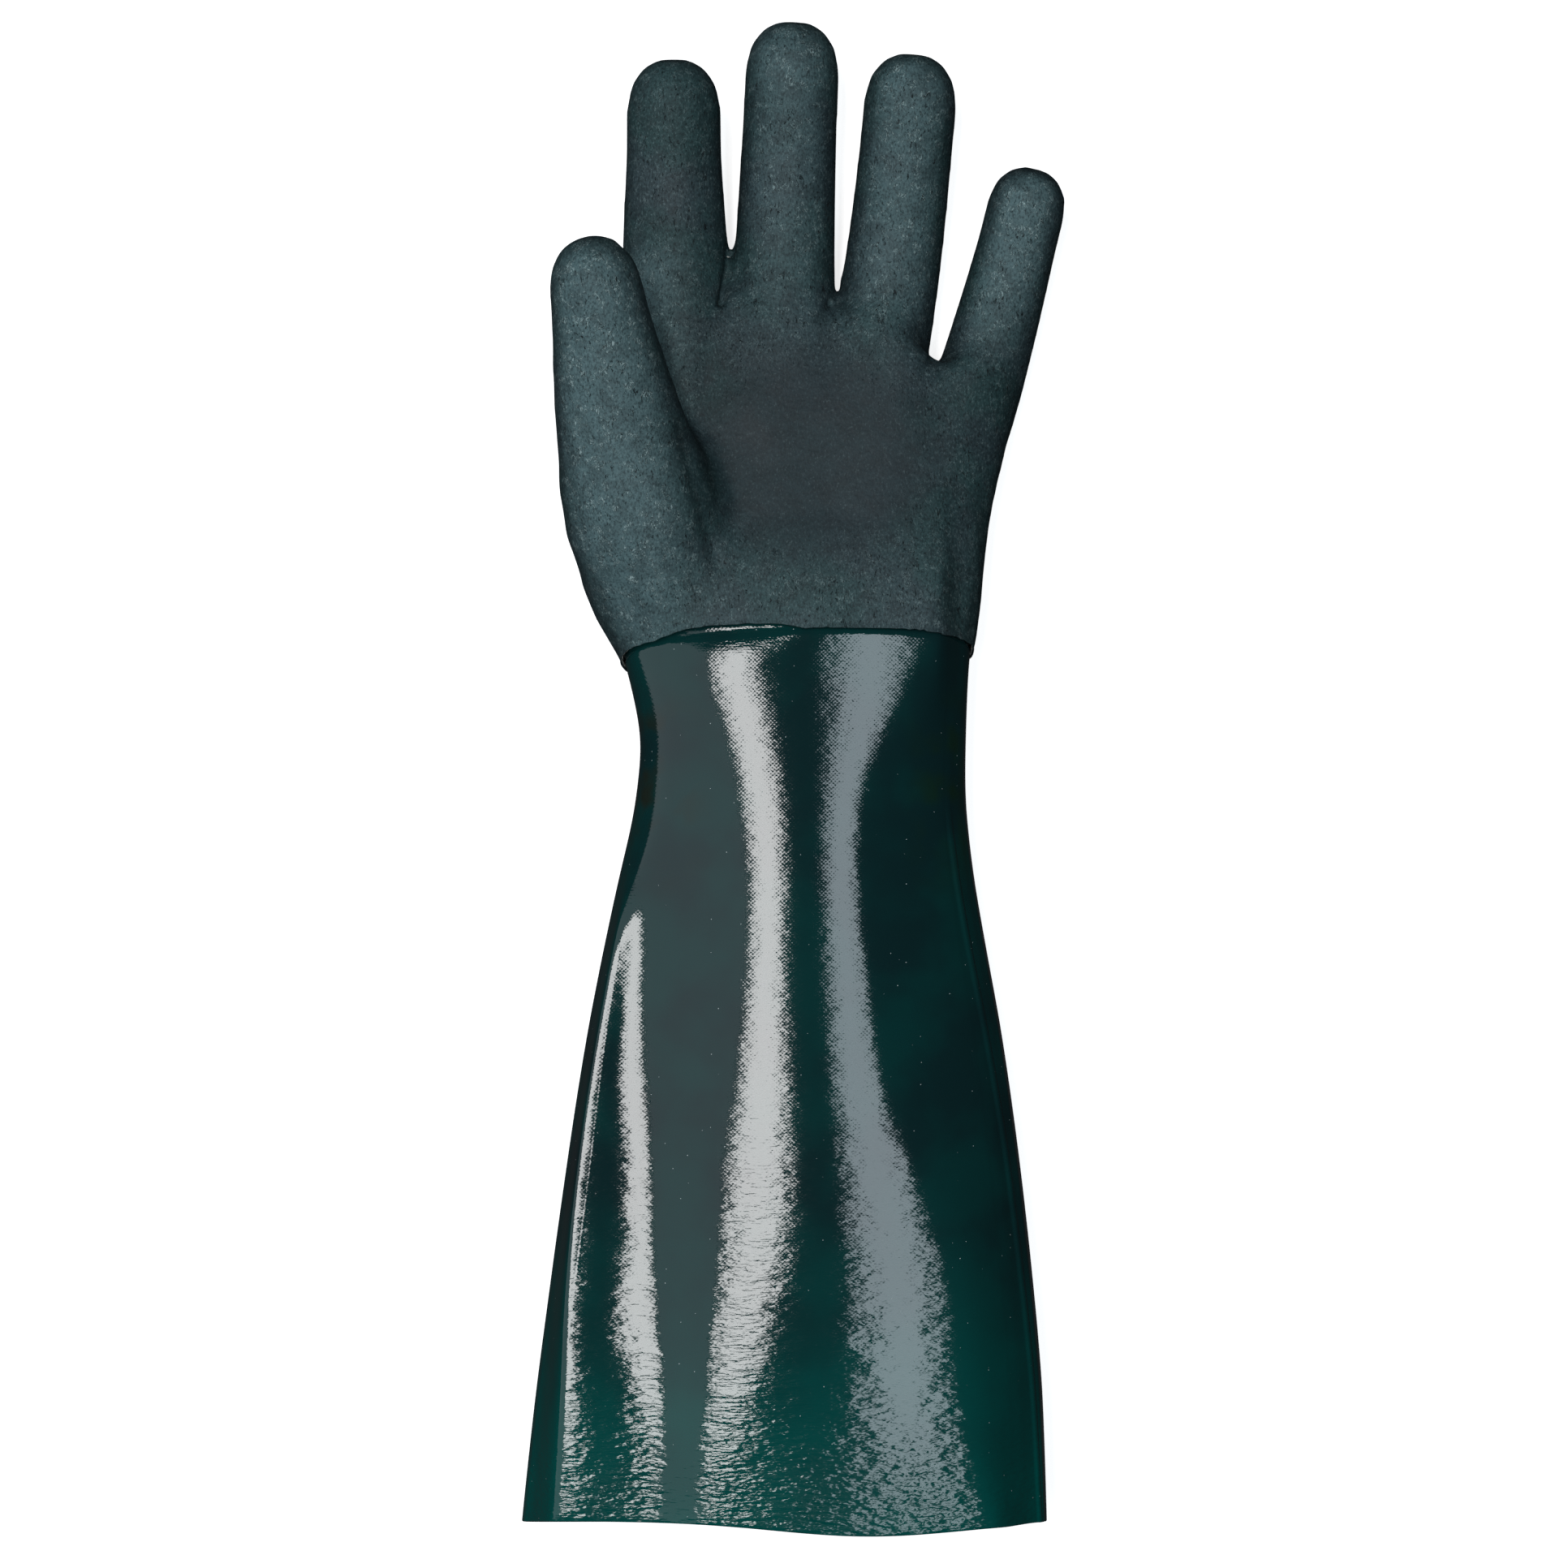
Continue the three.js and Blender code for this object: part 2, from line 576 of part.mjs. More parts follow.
// The upright plane midway between two neighbouring fingers, facing the second one.
function planeBetween(first, second) {
  const crotch = CROTCHES[fingers.indexOf(second)].along * PALM_LENGTH;
  const end = Math.min(first.stations.at(-1).centre.y, second.stations.at(-1).centre.y);
  const [low, high] = [crotch, end].map((y) => {
    const x = (fingerSide(first, y, 1) + fingerSide(second, y, -1)) / 2;
    return new THREE.Vector3(x, y, 0);
  });
  const up = high.sub(low).normalize();
  return new THREE.Plane().setFromNormalAndCoplanarPoint(new THREE.Vector3(up.y, -up.x, 0), low);
}

// The planes just below the thumb and just beside it, facing it. The palm lies behind one or the other.
function planesRoundThumb() {
  const { centre, halfWidth, halfDepth, through, across } = thumb.stations[Math.ceil(THUMB.cut * STATIONS)];
  const outside = COAT_STEP + THUMB_MARGIN;
  const under = centre.clone().addScaledVector(through, -halfDepth - outside);
  const beside = centre.clone().addScaledVector(across, halfWidth + outside);
  const upwards = through.clone().add(new THREE.Vector3(0, 0, 1)).normalize();
  return [
    new THREE.Plane().setFromNormalAndCoplanarPoint(upwards, under),
    new THREE.Plane().setFromNormalAndCoplanarPoint(across.clone().negate(), beside),
  ];
}

// The planes that bound the space of a digit's stall, all facing into it.
function stallPlanes(digit) {
  if (digit === thumb) return [partingPlane(thumb), ...planesRoundThumb()];
  const i = fingers.indexOf(digit);
  const planes = [partingPlane(digit)];
  if (i > 0) planes.push(planeBetween(fingers[i - 1], digit));
  if (i < fingers.length - 1) planes.push(planeBetween(digit, fingers[i + 1]).negate());
  return planes;
}

// The space in front of all of some planes, and a gap away from them.
function spaceInFrontOf(planes, gap) {
  const span = 2 * (SLEEVE_LENGTH + PALM_LENGTH);
  return planes.reduce(
    (space, { normal, constant }) => space.trimByPlane(normal.toArray(), gap - constant),
    wasm.Manifold.cube([span, span, span], true),
  );
}

// The largest body of a solid: a cut along a crotch can leave crumbs of less than a cubic millimetre.
function withoutCrumbs(solid) {
  return solid.decompose().reduce((a, b) => (a.volume() > b.volume() ? a : b));
}

// The hollow hand as one shell, then parted into the palm and the five stalls with a gap between them.
function makeHand() {
  const coated = makeHandBody(-COAT_STEP, 0);
  const hollow = makeHandBody(HAND_WALL - COAT_STEP, HAND_WALL);
  const edge = new THREE.Vector3(-edgeSkew, 1, -edgeRise).normalize();
  const shell = coated.subtract(hollow).subtract(solidOf(makeLapCutter()));
  let palm = shell.trimByPlane(edge.toArray(), edge.y * coatEdgeY(0, 0, GAP));

  const pieces = {};
  for (const digit of [thumb, ...fingers]) {
    const planes = stallPlanes(digit);
    const stall = palm.intersect(spaceInFrontOf(planes, GAP));
    pieces[digit.name] = withoutCrumbs(stall).simplify(CUT_TOLERANCE);
    palm = palm.subtract(spaceInFrontOf(planes, 0));
  }
  pieces.palm = withoutCrumbs(palm).simplify(CUT_TOLERANCE);
  return pieces;
}

const matteCoat = new THREE.MeshStandardMaterial({
  name: "matte_coat",
  color: 0x35474a,
  roughness: 0.78,
  metalness: 0,
});
const glossCoat = new THREE.MeshStandardMaterial({
  name: "gloss_coat",
  color: 0x063a35,
  roughness: 0.2,
  metalness: 0,
});

function piece(name, geometry, material) {
  const mesh = new THREE.Mesh(geometry, material);
  mesh.name = name;
  return mesh;
}

const glove = new THREE.Group();
glove.add(piece("sleeve", makeSleeve(), glossCoat));
for (const [name, solid] of Object.entries(makeHand())) glove.add(piece(name, geometryOf(solid), matteCoat));

const extent = new THREE.Box3().setFromObject(glove, true);
const middle = extent.getCenter(new THREE.Vector3());
glove.position.set(-middle.x, -middle.y, -extent.min.z);

export default glove;
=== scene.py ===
import math

import bmesh
import bpy
import numpy as np
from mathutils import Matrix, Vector
from mathutils.bvhtree import BVHTree


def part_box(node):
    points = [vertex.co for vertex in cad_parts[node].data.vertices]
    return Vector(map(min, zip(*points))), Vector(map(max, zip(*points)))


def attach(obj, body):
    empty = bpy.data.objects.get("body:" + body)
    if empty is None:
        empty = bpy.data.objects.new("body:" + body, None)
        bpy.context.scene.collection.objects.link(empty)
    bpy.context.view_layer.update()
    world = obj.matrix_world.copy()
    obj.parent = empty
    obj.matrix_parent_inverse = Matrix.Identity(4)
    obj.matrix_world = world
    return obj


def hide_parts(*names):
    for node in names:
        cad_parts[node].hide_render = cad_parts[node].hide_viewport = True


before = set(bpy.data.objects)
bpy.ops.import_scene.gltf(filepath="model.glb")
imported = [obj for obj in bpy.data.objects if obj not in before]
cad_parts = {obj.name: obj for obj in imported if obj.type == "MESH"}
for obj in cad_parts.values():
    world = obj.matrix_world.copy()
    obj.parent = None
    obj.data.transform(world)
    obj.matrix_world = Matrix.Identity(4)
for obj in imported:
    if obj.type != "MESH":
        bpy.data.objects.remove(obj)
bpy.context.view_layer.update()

MM = 0.001
MERGED_WITHIN = 0.01 * MM  # vertices of a copied solid
CLOSED_WITHIN = 0.002 * MM  # vertices where a rolled up grid meets itself

HAND_NODES = ["palm", "thumb", "index_finger", "middle_finger", "ring_finger", "little_finger"]

# Walls and coats
SLEEVE_WALL = 1.6 * MM
HAND_WALL = 2.4 * MM
MATTE_WALL = 0.8 * MM  # the matte coat alone, where it laps the sleeve
LAP_LENGTH = 11 * MM
LAP_SOFT = 2 * MM  # half the way over which the hand's wall grows from one thickness to the other
LAP_SHORT = 3.5 * MM  # how much earlier the sleeve's own lap ends
LAP_RECESS = 0.65 * MM
LAP_RECESS_RISE = 1.2 * MM  # how far down from the coat's edge the recess runs out
COAT_END_FACING = 0.85  # how squarely a face of the palm's end looks down the sleeve
COAT_END_REACH = 25 * MM
COAT_END_DEPTH = 1 * MM
EDGE_BLEND = (4 * MM, 48 * MM)  # how far up the hand its skin follows the sleeve's top
EDGE_BLEND_HEIGHT = 8 * MM

# Fineness of the hand's skin
VOXEL = 1.0 * MM
SWELL = 0.17 * MM  # closes the gaps between the parted stalls
SKIN_ROUNDS = 20
SKIN_CUT = 1.1 * MM  # where the skin is cut open, above the coat's edge
PLUG_BELOW = 4 * MM  # how far the plug reaches below the coat's edge
INNER_SHARE = 0.12
LIP_STEPS = [(0.7 * MM, 0), (0.3 * MM, 0.08 * MM), (0.12 * MM, 0.3 * MM)]  # down over the sleeve, and inwards

# Fineness of the sleeve's skin
SLEEVE_COLUMNS = 320
SLEEVE_ROWS = 186
LAP_ROWS = 8
INNER_ROWS = 30
RIM_ROUND = 0.45 * MM
RIM_INSET = 0.7 * MM  # from the solid's lowest point to the last row before the rounding
RIM_LEAN = 0.16  # how far the rim stands back, as a share of its height above the surface it lies on
RIM_BOW = 4.4 * MM  # how far its top bows out again
RIM_BOW_AT = 22 * MM
RIM_BOW_REACH = 40 * MM
RIM_BOW_HEIGHTS = (30 * MM, 55 * MM)
RIM_TURN_START = 0.7  # share of the sleeve's length where its rows begin to follow the rim
RIM_CORNER = [0, 30, 60, 90]  # turns of the rounding's rings, in degrees
RIM_RINGS = 2 * len(RIM_CORNER) - 1  # over the outer and the inner rounding
CASTING_DISTANCE = 0.2
SIDE_RAY_HEIGHT = 22 * MM
TOP_RAY_HEIGHT = 44 * MM
RAYS = [(-1, 0, SIDE_RAY_HEIGHT), (1, 0, SIDE_RAY_HEIGHT), (0, 1, TOP_RAY_HEIGHT)]  # across, up, height
MIDDLE_HEIGHT = 0.47  # share of a section's height where its spokes meet
MIDDLE_ROUNDS = 60
FACETS_AROUND = 5  # columns over which the solid's facets are evened out
FACETS_ALONG = 7  # the same in rows
TILTED_SHARE = 0.35  # share of the sleeve's length where its rows turn from the coat's edge to the rim

# Side seam
SEAM_WIDTH = 3.2 * MM
SEAM_HEIGHT = 0.55 * MM
SEAM_FLANK = 1.2 * MM

# Camera
CAMERA_HEIGHT = 1.35
CAMERA_LENS = 104
SENSOR_WIDTH = 36
VIEW_CENTRE = (-3.0 * MM, -1.1 * MM)
VIEW_LEVEL = 25 * MM

# Floor and lights
FLOOR_RADIUS = 2.6
FLOOR_CORNERS = 96
FLOOR_LEVEL = -0.3 * MM
FLOOR_GLOW = 0.8
WORLD_COLOUR = (0.9, 0.95, 1, 1)
WORLD_STRENGTH = 0.02
# Each light's name, place, size, radiance and colour
LIGHTS = [
    ("key", (-0.25, 0.25, 1.6), (0.2, 1.06), 13.2, (1, 1, 1)),
    ("fill", (0.35, 0, 1.6), (0.2, 1.4), 5.8, (0.8, 0.92, 1)),
    ("fill_low", (0.35, -0.53, 1.6), (0.2, 0.46), 4.5, (0.85, 0.94, 1)),
    ("side", (-1.12, 0, 0.9), (2.16, 1.8), 0.95, (0.85, 0.94, 1)),
]


# Working on meshes

def select_only(piece):
    bpy.ops.object.select_all(action="DESELECT")
    piece.select_set(True)
    bpy.context.view_layer.objects.active = piece


def read(piece, what="co"):
    flat = np.empty(len(piece.data.vertices) * 3, np.float64)
    piece.data.vertices.foreach_get(what, flat)
    return flat.reshape(-1, 3)


def place(piece, places):
    piece.data.vertices.foreach_set("co", places.astype(np.float32).ravel())
    piece.data.update()


def finish_with(piece, kind, **settings):
    """Adds one modifier, sets it and applies it."""
    select_only(piece)
    modifier = piece.modifiers.new(kind.lower(), kind)
    for key, value in settings.items():
        setattr(modifier, key, value)
    bpy.ops.object.modifier_apply(modifier=modifier.name)


def ramp(value, low, high):
    """0 below low and 1 above high, with a smooth step between them."""
    share = np.clip((value - low) / (high - low), 0, 1)
    return share * share * (3 - 2 * share)


def copy_of(nodes, name):
    """One new mesh from copies of CAD nodes, each with its loose triangles merged."""
    bpy.ops.object.select_all(action="DESELECT")
    for node in nodes:
        piece = bpy.data.objects.new(name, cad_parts[node].data.copy())
        bpy.context.scene.collection.objects.link(piece)
        piece.select_set(True)
        bpy.context.view_layer.objects.active = piece
    if len(nodes) > 1:
        bpy.ops.object.join()
    piece = bpy.context.view_layer.objects.active
    piece.data.materials.clear()
    bpy.ops.object.mode_set(mode="EDIT")
    bpy.ops.mesh.select_all(action="SELECT")
    bpy.ops.mesh.remove_doubles(threshold=MERGED_WITHIN)
    bpy.ops.object.mode_set(mode="OBJECT")
    piece.name = name
    return piece


def extend_rim(piece, steps):
    """Draws an open rim out in steps, each a distance along a direction and a distance inwards."""
    mesh = bmesh.new()
    mesh.from_mesh(piece.data)
    mesh.normal_update()
    edges = [edge for edge in mesh.edges if edge.is_boundary]
    inward = {}
    for edge in edges:
        for vertex in edge.verts:
            inward[vertex] = -vertex.normal
    for direction, inside in steps:
        drawn = bmesh.ops.extrude_edge_only(mesh, edges=edges)["geom"]
        new_edges = [item for item in drawn if isinstance(item, bmesh.types.BMEdge)]
        edges = [edge for edge in new_edges if edge.is_boundary]
        corners = {vertex for edge in edges for vertex in edge.verts}
        fresh = {}
        for vertex in corners:
            neighbours = [edge.other_vert(vertex) for edge in vertex.link_edges]
            old = next(neighbour for neighbour in neighbours if neighbour in inward)
            fresh[vertex] = inward[old]
            vertex.co = old.co + direction + inward[old] * inside
        inward = fresh
    bmesh.ops.recalc_face_normals(mesh, faces=mesh.faces)
    mesh.to_mesh(piece.data)
    mesh.free()


def evened(values, passes, axis, closed=False):
    """Values blurred a little along one axis, as often as asked."""
    for _ in range(passes):
        before, after = np.roll(values, 1, axis), np.roll(values, -1, axis)
        if not closed:
            ends = [slice(None)] * values.ndim
            for end, inner, side in ((0, 1, before), (-1, -2, after)):
                first, second = list(ends), list(ends)
                first[axis], second[axis] = end, inner
                side[tuple(first)] = 2 * values[tuple(first)] - values[tuple(second)]
        values = (before + 2 * values + after) / 4
    return values


# The plane in which the matte coat ends, read from the flat end of the palm

def coat_edge():
    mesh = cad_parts["palm"].data
    reach = min(vertex.co.y for vertex in mesh.vertices) + COAT_END_REACH
    facing = [face for face in mesh.polygons if face.normal.y < -COAT_END_FACING]
    ends = [face for face in facing if face.center.y < reach]
    normal = -sum((face.normal * face.area for face in ends), Vector()).normalized()
    nearest = min(vertex.co.dot(normal) for vertex in mesh.vertices)
    ends = [face for face in ends if face.center.dot(normal) < nearest + COAT_END_DEPTH]
    area = sum(face.area for face in ends)
    point = sum((face.center * face.area for face in ends), Vector()) / area
    return point, normal


EDGE_POINT, EDGE_NORMAL = coat_edge()


def up_hand(places):
    """How far places lie up the hand from the plane of the coat's edge."""
    return (places - np.array(EDGE_POINT)) @ np.array(EDGE_NORMAL)


# Hand

# The line along which the fingers' crowns leave the palm
ROOT_LINE = [(-0.06, 0.140), (-0.02, 0.142), (0.012, 0.138), (0.030, 0.133), (0.042, 0.122), (0.065, 0.116)]
ROOT_REACH = 24 * MM
ROOT_ROUNDS = 130
ROOT_FACING = (0.15, 0.5)  # how much the skin faces up where it begins to be evened and is fully evened
ROOT_FADE = (0.55, 1)  # shares of the reach over which the evening ends
WEIGHT_FLOOR = 0.01

# What the tips gain over the evened skin, in millimetres: the span across, the span along, and the gain
TIPS = [
    (-90, -51, 136, 160, 1.0),
    (-49, -17, 192, 216, 1.3),
    (-17, 16, 200, 224, 1.7),
    (16, 51, 192, 216, 1.6),
    (51, 90, 158, 182, 0.6),
]
TIP_SOFT = 2

# Furrows, in millimetres: beside the thumb's mound, and the short puckers that run down from each crotch,
# by their lean in degrees and their length
THUMB_CREASE = [(-33, 104), (-29.5, 88), (-25, 72), (-22.5, 63)]
HEEL_PLACE = (-19, 50)
HEEL_REACH = 24 * MM
TOUCH_LINE = [(-19, 160), (-19.6, 152), (-21.6, 142.5)]  # where the index and the middle finger touch
CROTCHES = [(-21, 143), (10.6, 141.5), (41.3, 125.5)]
PUCKERS = [(-38, 5.5), (-8, 4.5), (30, 6.5)]
# Depth and half width of each kind
THUMB_CREASE_SIZE = (0.75 * MM, 2.3 * MM)
TOUCH_SIZE = (2.6 * MM, 1.0 * MM)
PUCKER_SIZE = (0.55 * MM, 0.8 * MM)
FURROW_FACING = (0.1, 0.4)  # how much the skin faces up, from no furrow to a full one


def keep_outer_skin(piece, cut):
    """Cuts a closed shell open in a plane and keeps the larger of the two skins that are left."""
    mesh = bmesh.new()
    mesh.from_mesh(piece.data)
    everything = mesh.verts[:] + mesh.edges[:] + mesh.faces[:]
    bmesh.ops.bisect_plane(mesh, geom=everything, plane_co=cut, plane_no=EDGE_NORMAL, clear_inner=True)
    left = set(mesh.verts)
    skins = []
    while left:
        front = [left.pop()]
        skin = list(front)
        while front:
            for edge in front.pop().link_edges:
                for vertex in edge.verts:
                    if vertex in left:
                        left.discard(vertex)
                        skin.append(vertex)
                        front.append(vertex)
        skins.append(skin)
    skins.sort(key=len)
    loose = [vertex for skin in skins[:-1] for vertex in skin]
    bmesh.ops.delete(mesh, geom=loose, context="VERTS")
    mesh.to_mesh(piece.data)
    mesh.free()


def add_inner_wall(piece, lining):
    """Gives the hand its thickness: a coarser copy of the skin inside it, joined at the coat's edge."""
    inner = piece.copy()
    inner.data = piece.data.copy()
    bpy.context.scene.collection.objects.link(inner)
    finish_with(inner, "DECIMATE", ratio=INNER_SHARE)
    places = read(inner)
    thick = ramp(up_hand(places), LAP_LENGTH - LAP_SOFT, LAP_LENGTH + LAP_SOFT)
    wall = MATTE_WALL + (HAND_WALL - MATTE_WALL) * thick
    place(inner, places - read(inner, "normal") * wall[:, None])
    inner.data.flip_normals()
    inner.data.materials.clear()
    inner.data.materials.append(lining)
    bpy.ops.object.select_all(action="DESELECT")
    inner.select_set(True)
    piece.select_set(True)
    bpy.context.view_layer.objects.active = piece
    bpy.ops.object.join()
    bpy.ops.object.mode_set(mode="EDIT")
    bpy.ops.mesh.select_mode(type="EDGE")
    bpy.ops.mesh.select_all(action="DESELECT")
    bpy.ops.mesh.select_non_manifold(
        extend=False,
        use_wire=False,
        use_multi_face=False,
        use_non_contiguous=False,
        use_verts=False,
    )
    bpy.ops.mesh.bridge_edge_loops()
    bpy.ops.object.mode_set(mode="OBJECT")


def soften_roots(piece):
    """Evens out the step where the fingers' crowns leave the palm."""
    places, normals = read(piece), read(piece, "normal")
    x, y = places[:, 0], places[:, 1]
    middle = np.interp(x, *zip(*ROOT_LINE))
    heel = np.hypot(x - HEEL_PLACE[0] * MM, y - HEEL_PLACE[1] * MM)
    near = np.minimum(abs(y - middle) / ROOT_REACH, heel / HEEL_REACH)
    weight = ramp(normals[:, 2], *ROOT_FACING) * (1 - ramp(near, *ROOT_FADE))
    group = piece.vertex_groups.new(name="roots")
    for index in np.flatnonzero(weight > WEIGHT_FLOOR):
        group.add([int(index)], weight[index], "REPLACE")
    finish_with(piece, "SMOOTH", factor=0.5, iterations=ROOT_ROUNDS, vertex_group="roots")
    piece.vertex_groups.clear()


def crease(places, normals, line, size):
    """Presses a furrow of a depth and a half width into places, along a line on the palm side."""
    depth, width = size
    nearest = np.full(len(places), 1.0)
    for start, end in zip(line, line[1:]):
        start, end = np.array(start) * MM, np.array(end) * MM
        run = end - start
        share = np.clip(((places[:, :2] - start) @ run) / (run @ run), 0, 1)
        nearest = np.minimum(nearest, np.linalg.norm(places[:, :2] - start - share[:, None] * run, axis=1))
    deep = depth * np.exp(-(nearest / width) ** 2) * ramp(normals[:, 2], *FURROW_FACING)
    return places - normals * deep[:, None]


def press_creases(piece):
    places, normals = read(piece), read(piece, "normal")
    places = crease(places, normals, THUMB_CREASE, THUMB_CREASE_SIZE)
    places = crease(places, normals, TOUCH_LINE, TOUCH_SIZE)
    for x, y in CROTCHES:
        for lean, length in PUCKERS:
            end = (x + length * math.sin(math.radians(lean)), y - length * math.cos(math.radians(lean)))
            places = crease(places, normals, [(x, y + 1), end], PUCKER_SIZE)
    place(piece, places)


# How strongly the crowns of the fingers are lightened with painted highlight, from the index finger to the
# little finger
CROWN_HIGHLIGHT_ACROSS = [(-0.03, 0), (-0.004, 0.45), (0.015, 0.5), (0.032, 0.75), (0.06, 1)]

# How much the skin has to face up, from none to all, for what belongs on its crowns, on the narrow strip
# along a crown (both painted highlight), and for the painted shade on its sides to end
CROWN_FACING = (0.25, 0.85)
STRIP_FACING = (0.55, 0.97)
SIDE_SHADE_FACING = (0.15, 0.9)

# Where the lighter stretches begin and are full, along the hand and, for the thumb's mound, towards the
# thumb: painted highlight on the crowns and the mound, and plainly lighter tips and heel
STALL_HIGHLIGHT_ALONG = (112 * MM, 160 * MM)
MOUND_HIGHLIGHT_ACROSS = (24 * MM, 46 * MM)
MOUND_HIGHLIGHT_ALONG = (20 * MM, 70 * MM)
MOUND_HIGHLIGHT_END = (150 * MM, 164 * MM)
TIPS_LIGHTER_ALONG = (195 * MM, 222 * MM)
TIPS_LIGHTER = 0.4
HEEL_LIGHTER_ALONG = (90 * MM, 55 * MM)
HEEL_LIGHTER = 0.2

# The smooth hollow of the palm, which is also darkened with painted shade: its middle, its half sizes, and
# the shares of them where it fades
PALM_HOLLOW_MIDDLE = (6 * MM, 97 * MM)
PALM_HOLLOW_SIZE = (40 * MM, 36 * MM)
PALM_HOLLOW_FADE = (0.55, 1.15)


def mark_skin(piece):
    """Marks painted highlight on the crowns and the thumb's mound, lighter tips and heel, the smooth palm
    middle darkened with painted shade, and painted shade on the sides.
    """
    places, normals = read(piece), read(piece, "normal")
    x, y = places[:, 0], places[:, 1]
    crown = ramp(normals[:, 2], *CROWN_FACING)
    strip = ramp(normals[:, 2], *STRIP_FACING)
    # painted highlight along the crown of each finger, where the skin faces up
    stall = np.interp(x, *zip(*CROWN_HIGHLIGHT_ACROSS)) * strip * ramp(y, *STALL_HIGHLIGHT_ALONG)
    # painted highlight on the thumb's mound, where it faces up
    mound = ramp(-x, *MOUND_HIGHLIGHT_ACROSS) * ramp(y, *MOUND_HIGHLIGHT_ALONG) * (1 - ramp(y, *MOUND_HIGHLIGHT_END))
    tips = ramp(y, *TIPS_LIGHTER_ALONG) * TIPS_LIGHTER
    heel = ramp(y, *HEEL_LIGHTER_ALONG) * crown * HEEL_LIGHTER
    away = np.linalg.norm((places[:, :2] - PALM_HOLLOW_MIDDLE) / PALM_HOLLOW_SIZE, axis=1)
    marks = {
        "crown_highlight_and_tips": np.clip(np.maximum(stall, mound * crown) + tips + heel, 0, 1),
        # painted shade in the middle of the palm, where the coat is also smoother
        "hollow": (1 - ramp(away, *PALM_HOLLOW_FADE)) * crown,
        # painted shade on the sides, darker as the skin turns away from facing up
        "side": 1 - ramp(normals[:, 2], *SIDE_SHADE_FACING),
    }
    for name, value in marks.items():
        mark = piece.data.attributes.new(name, "FLOAT", "POINT")
        mark.data.foreach_set("value", value.astype(np.float32))


def lap_plug():
    """The end of the sleeve, which fills the hand where its coat is thinner than the skin's fineness."""
    plug = copy_of(["sleeve"], "lap_plug")
    bpy.ops.object.mode_set(mode="EDIT")
    bpy.ops.mesh.select_all(action="SELECT")
    bpy.ops.mesh.bisect(
        plane_co=EDGE_POINT - EDGE_NORMAL * PLUG_BELOW,
        plane_no=EDGE_NORMAL,
        use_fill=True,
        clear_inner=True,
    )
    bpy.ops.object.mode_set(mode="OBJECT")
    return plug


def lengthen_tips(places):
    for left, right, start, end, longer in TIPS:
        x, y = places[:, 0] / MM, places[:, 1] / MM
        inside = ramp(x, left - TIP_SOFT, left + TIP_SOFT) - ramp(x, right - TIP_SOFT, right + TIP_SOFT)
        places[:, 1] += inside * ramp(y, start, end) * longer * MM
    return places


def make_hand(form, lining):
    plug = lap_plug()
    piece = copy_of(HAND_NODES, "hand_coat")
    plug.select_set(True)
    bpy.ops.object.join()
    finish_with(piece, "DISPLACE", strength=SWELL, mid_level=0)
    finish_with(piece, "REMESH", mode="VOXEL", voxel_size=VOXEL)
    keep_outer_skin(piece, EDGE_POINT + EDGE_NORMAL * SKIN_CUT)
    finish_with(piece, "SMOOTH", factor=0.5, iterations=SKIN_ROUNDS)
    places = read(piece)
    places[:, 2] += form.at_edge(places) * (1 - ramp(up_hand(places), *EDGE_BLEND))
    place(piece, lengthen_tips(places))
    soften_roots(piece)
    press_creases(piece)
    extend_rim(piece, [(-EDGE_NORMAL * down, inside) for down, inside in LIP_STEPS])
    mark_skin(piece)
    piece.data.materials.append(matte_finish())
    add_inner_wall(piece, lining)
    select_only(piece)
    bpy.ops.object.shade_smooth()
    return piece


# Sleeve

# Where the sleeve's top leans by certain angles. Each row: share of the way from the coat's edge to the rim,
# and then the two ends of four stretches across, as shares of half the sleeve's width there. The ridge is the
# fold along the thumb's side, from its outer to its inner flank, and the valley the flank that rises again on
# the way to the middle. The crown and the slope are two gentle stretches of the top.
SLEEVE_TOP = [
    (0.0, (-0.96, -0.9), (-0.82, -0.74), (-0.6, -0.3), (0.13, 0.78)),
    (0.04, (-0.96, -0.9), (-0.82, -0.74), (-0.63, -0.3), (0.11, 0.76)),
    (0.1, (-0.96, -0.9), (-0.82, -0.74), (-0.49, -0.22), (0.13, 0.57)),
    (0.17, (-0.95, -0.9), (-0.86, -0.8), (-0.37, -0.11), (0.125, 0.35)),
    (0.25, (-0.95, -0.9), (-0.88, -0.82), (-0.255, -0.05), (0.13, 0.325)),
    (0.34, (-0.95, -0.9), (-0.86, -0.79), (-0.24, -0.045), (0.14, 0.355)),
    (0.47, (-0.955, -0.91), (-0.81, -0.69), (-0.265, -0.01), (0.16, 0.39)),
    (0.56, (-0.955, -0.92), (-0.735, -0.63), (-0.315, 0.01), (0.2, 0.52)),
    (0.65, (-0.95, -0.92), (-0.69, -0.585), (-0.31, 0.01), (0.22, 0.63)),
    (0.74, (-0.93, -0.89), (-0.71, -0.54), (-0.33, -0.08), (0.26, 0.67)),
    (0.83, (-0.9, -0.85), (-0.615, -0.485), (-0.335, -0.13), (0.28, 0.66)),
    (0.92, (-0.88, -0.82), (-0.57, -0.475), (-0.34, -0.2), (0.33, 0.7)),
    (1.0, (-0.87, -0.8), (-0.55, -0.47), (-0.33, -0.25), (0.37, 0.76)),
]
STRETCH_LEANS = {"ridge": (-4.2, -0.3), "valley": (-0.8, -4.9), "crown": (-6.2, -2.3), "slope": (3.4, 7.2)}
FOLD_STRETCHES = ("ridge", "valley")
FLANK_LEAN = -21  # between the valley and the crown
BANK_LEANS = (-2.2, 3)  # between the ridge and the valley, first joined and then parted
BANK_PARTS = (0.32, 0.42)  # shares of the sleeve's length where they part
SHOULDER = 0.9  # share of the half width where the top goes over into the sides
SHOULDER_LEAN = 40
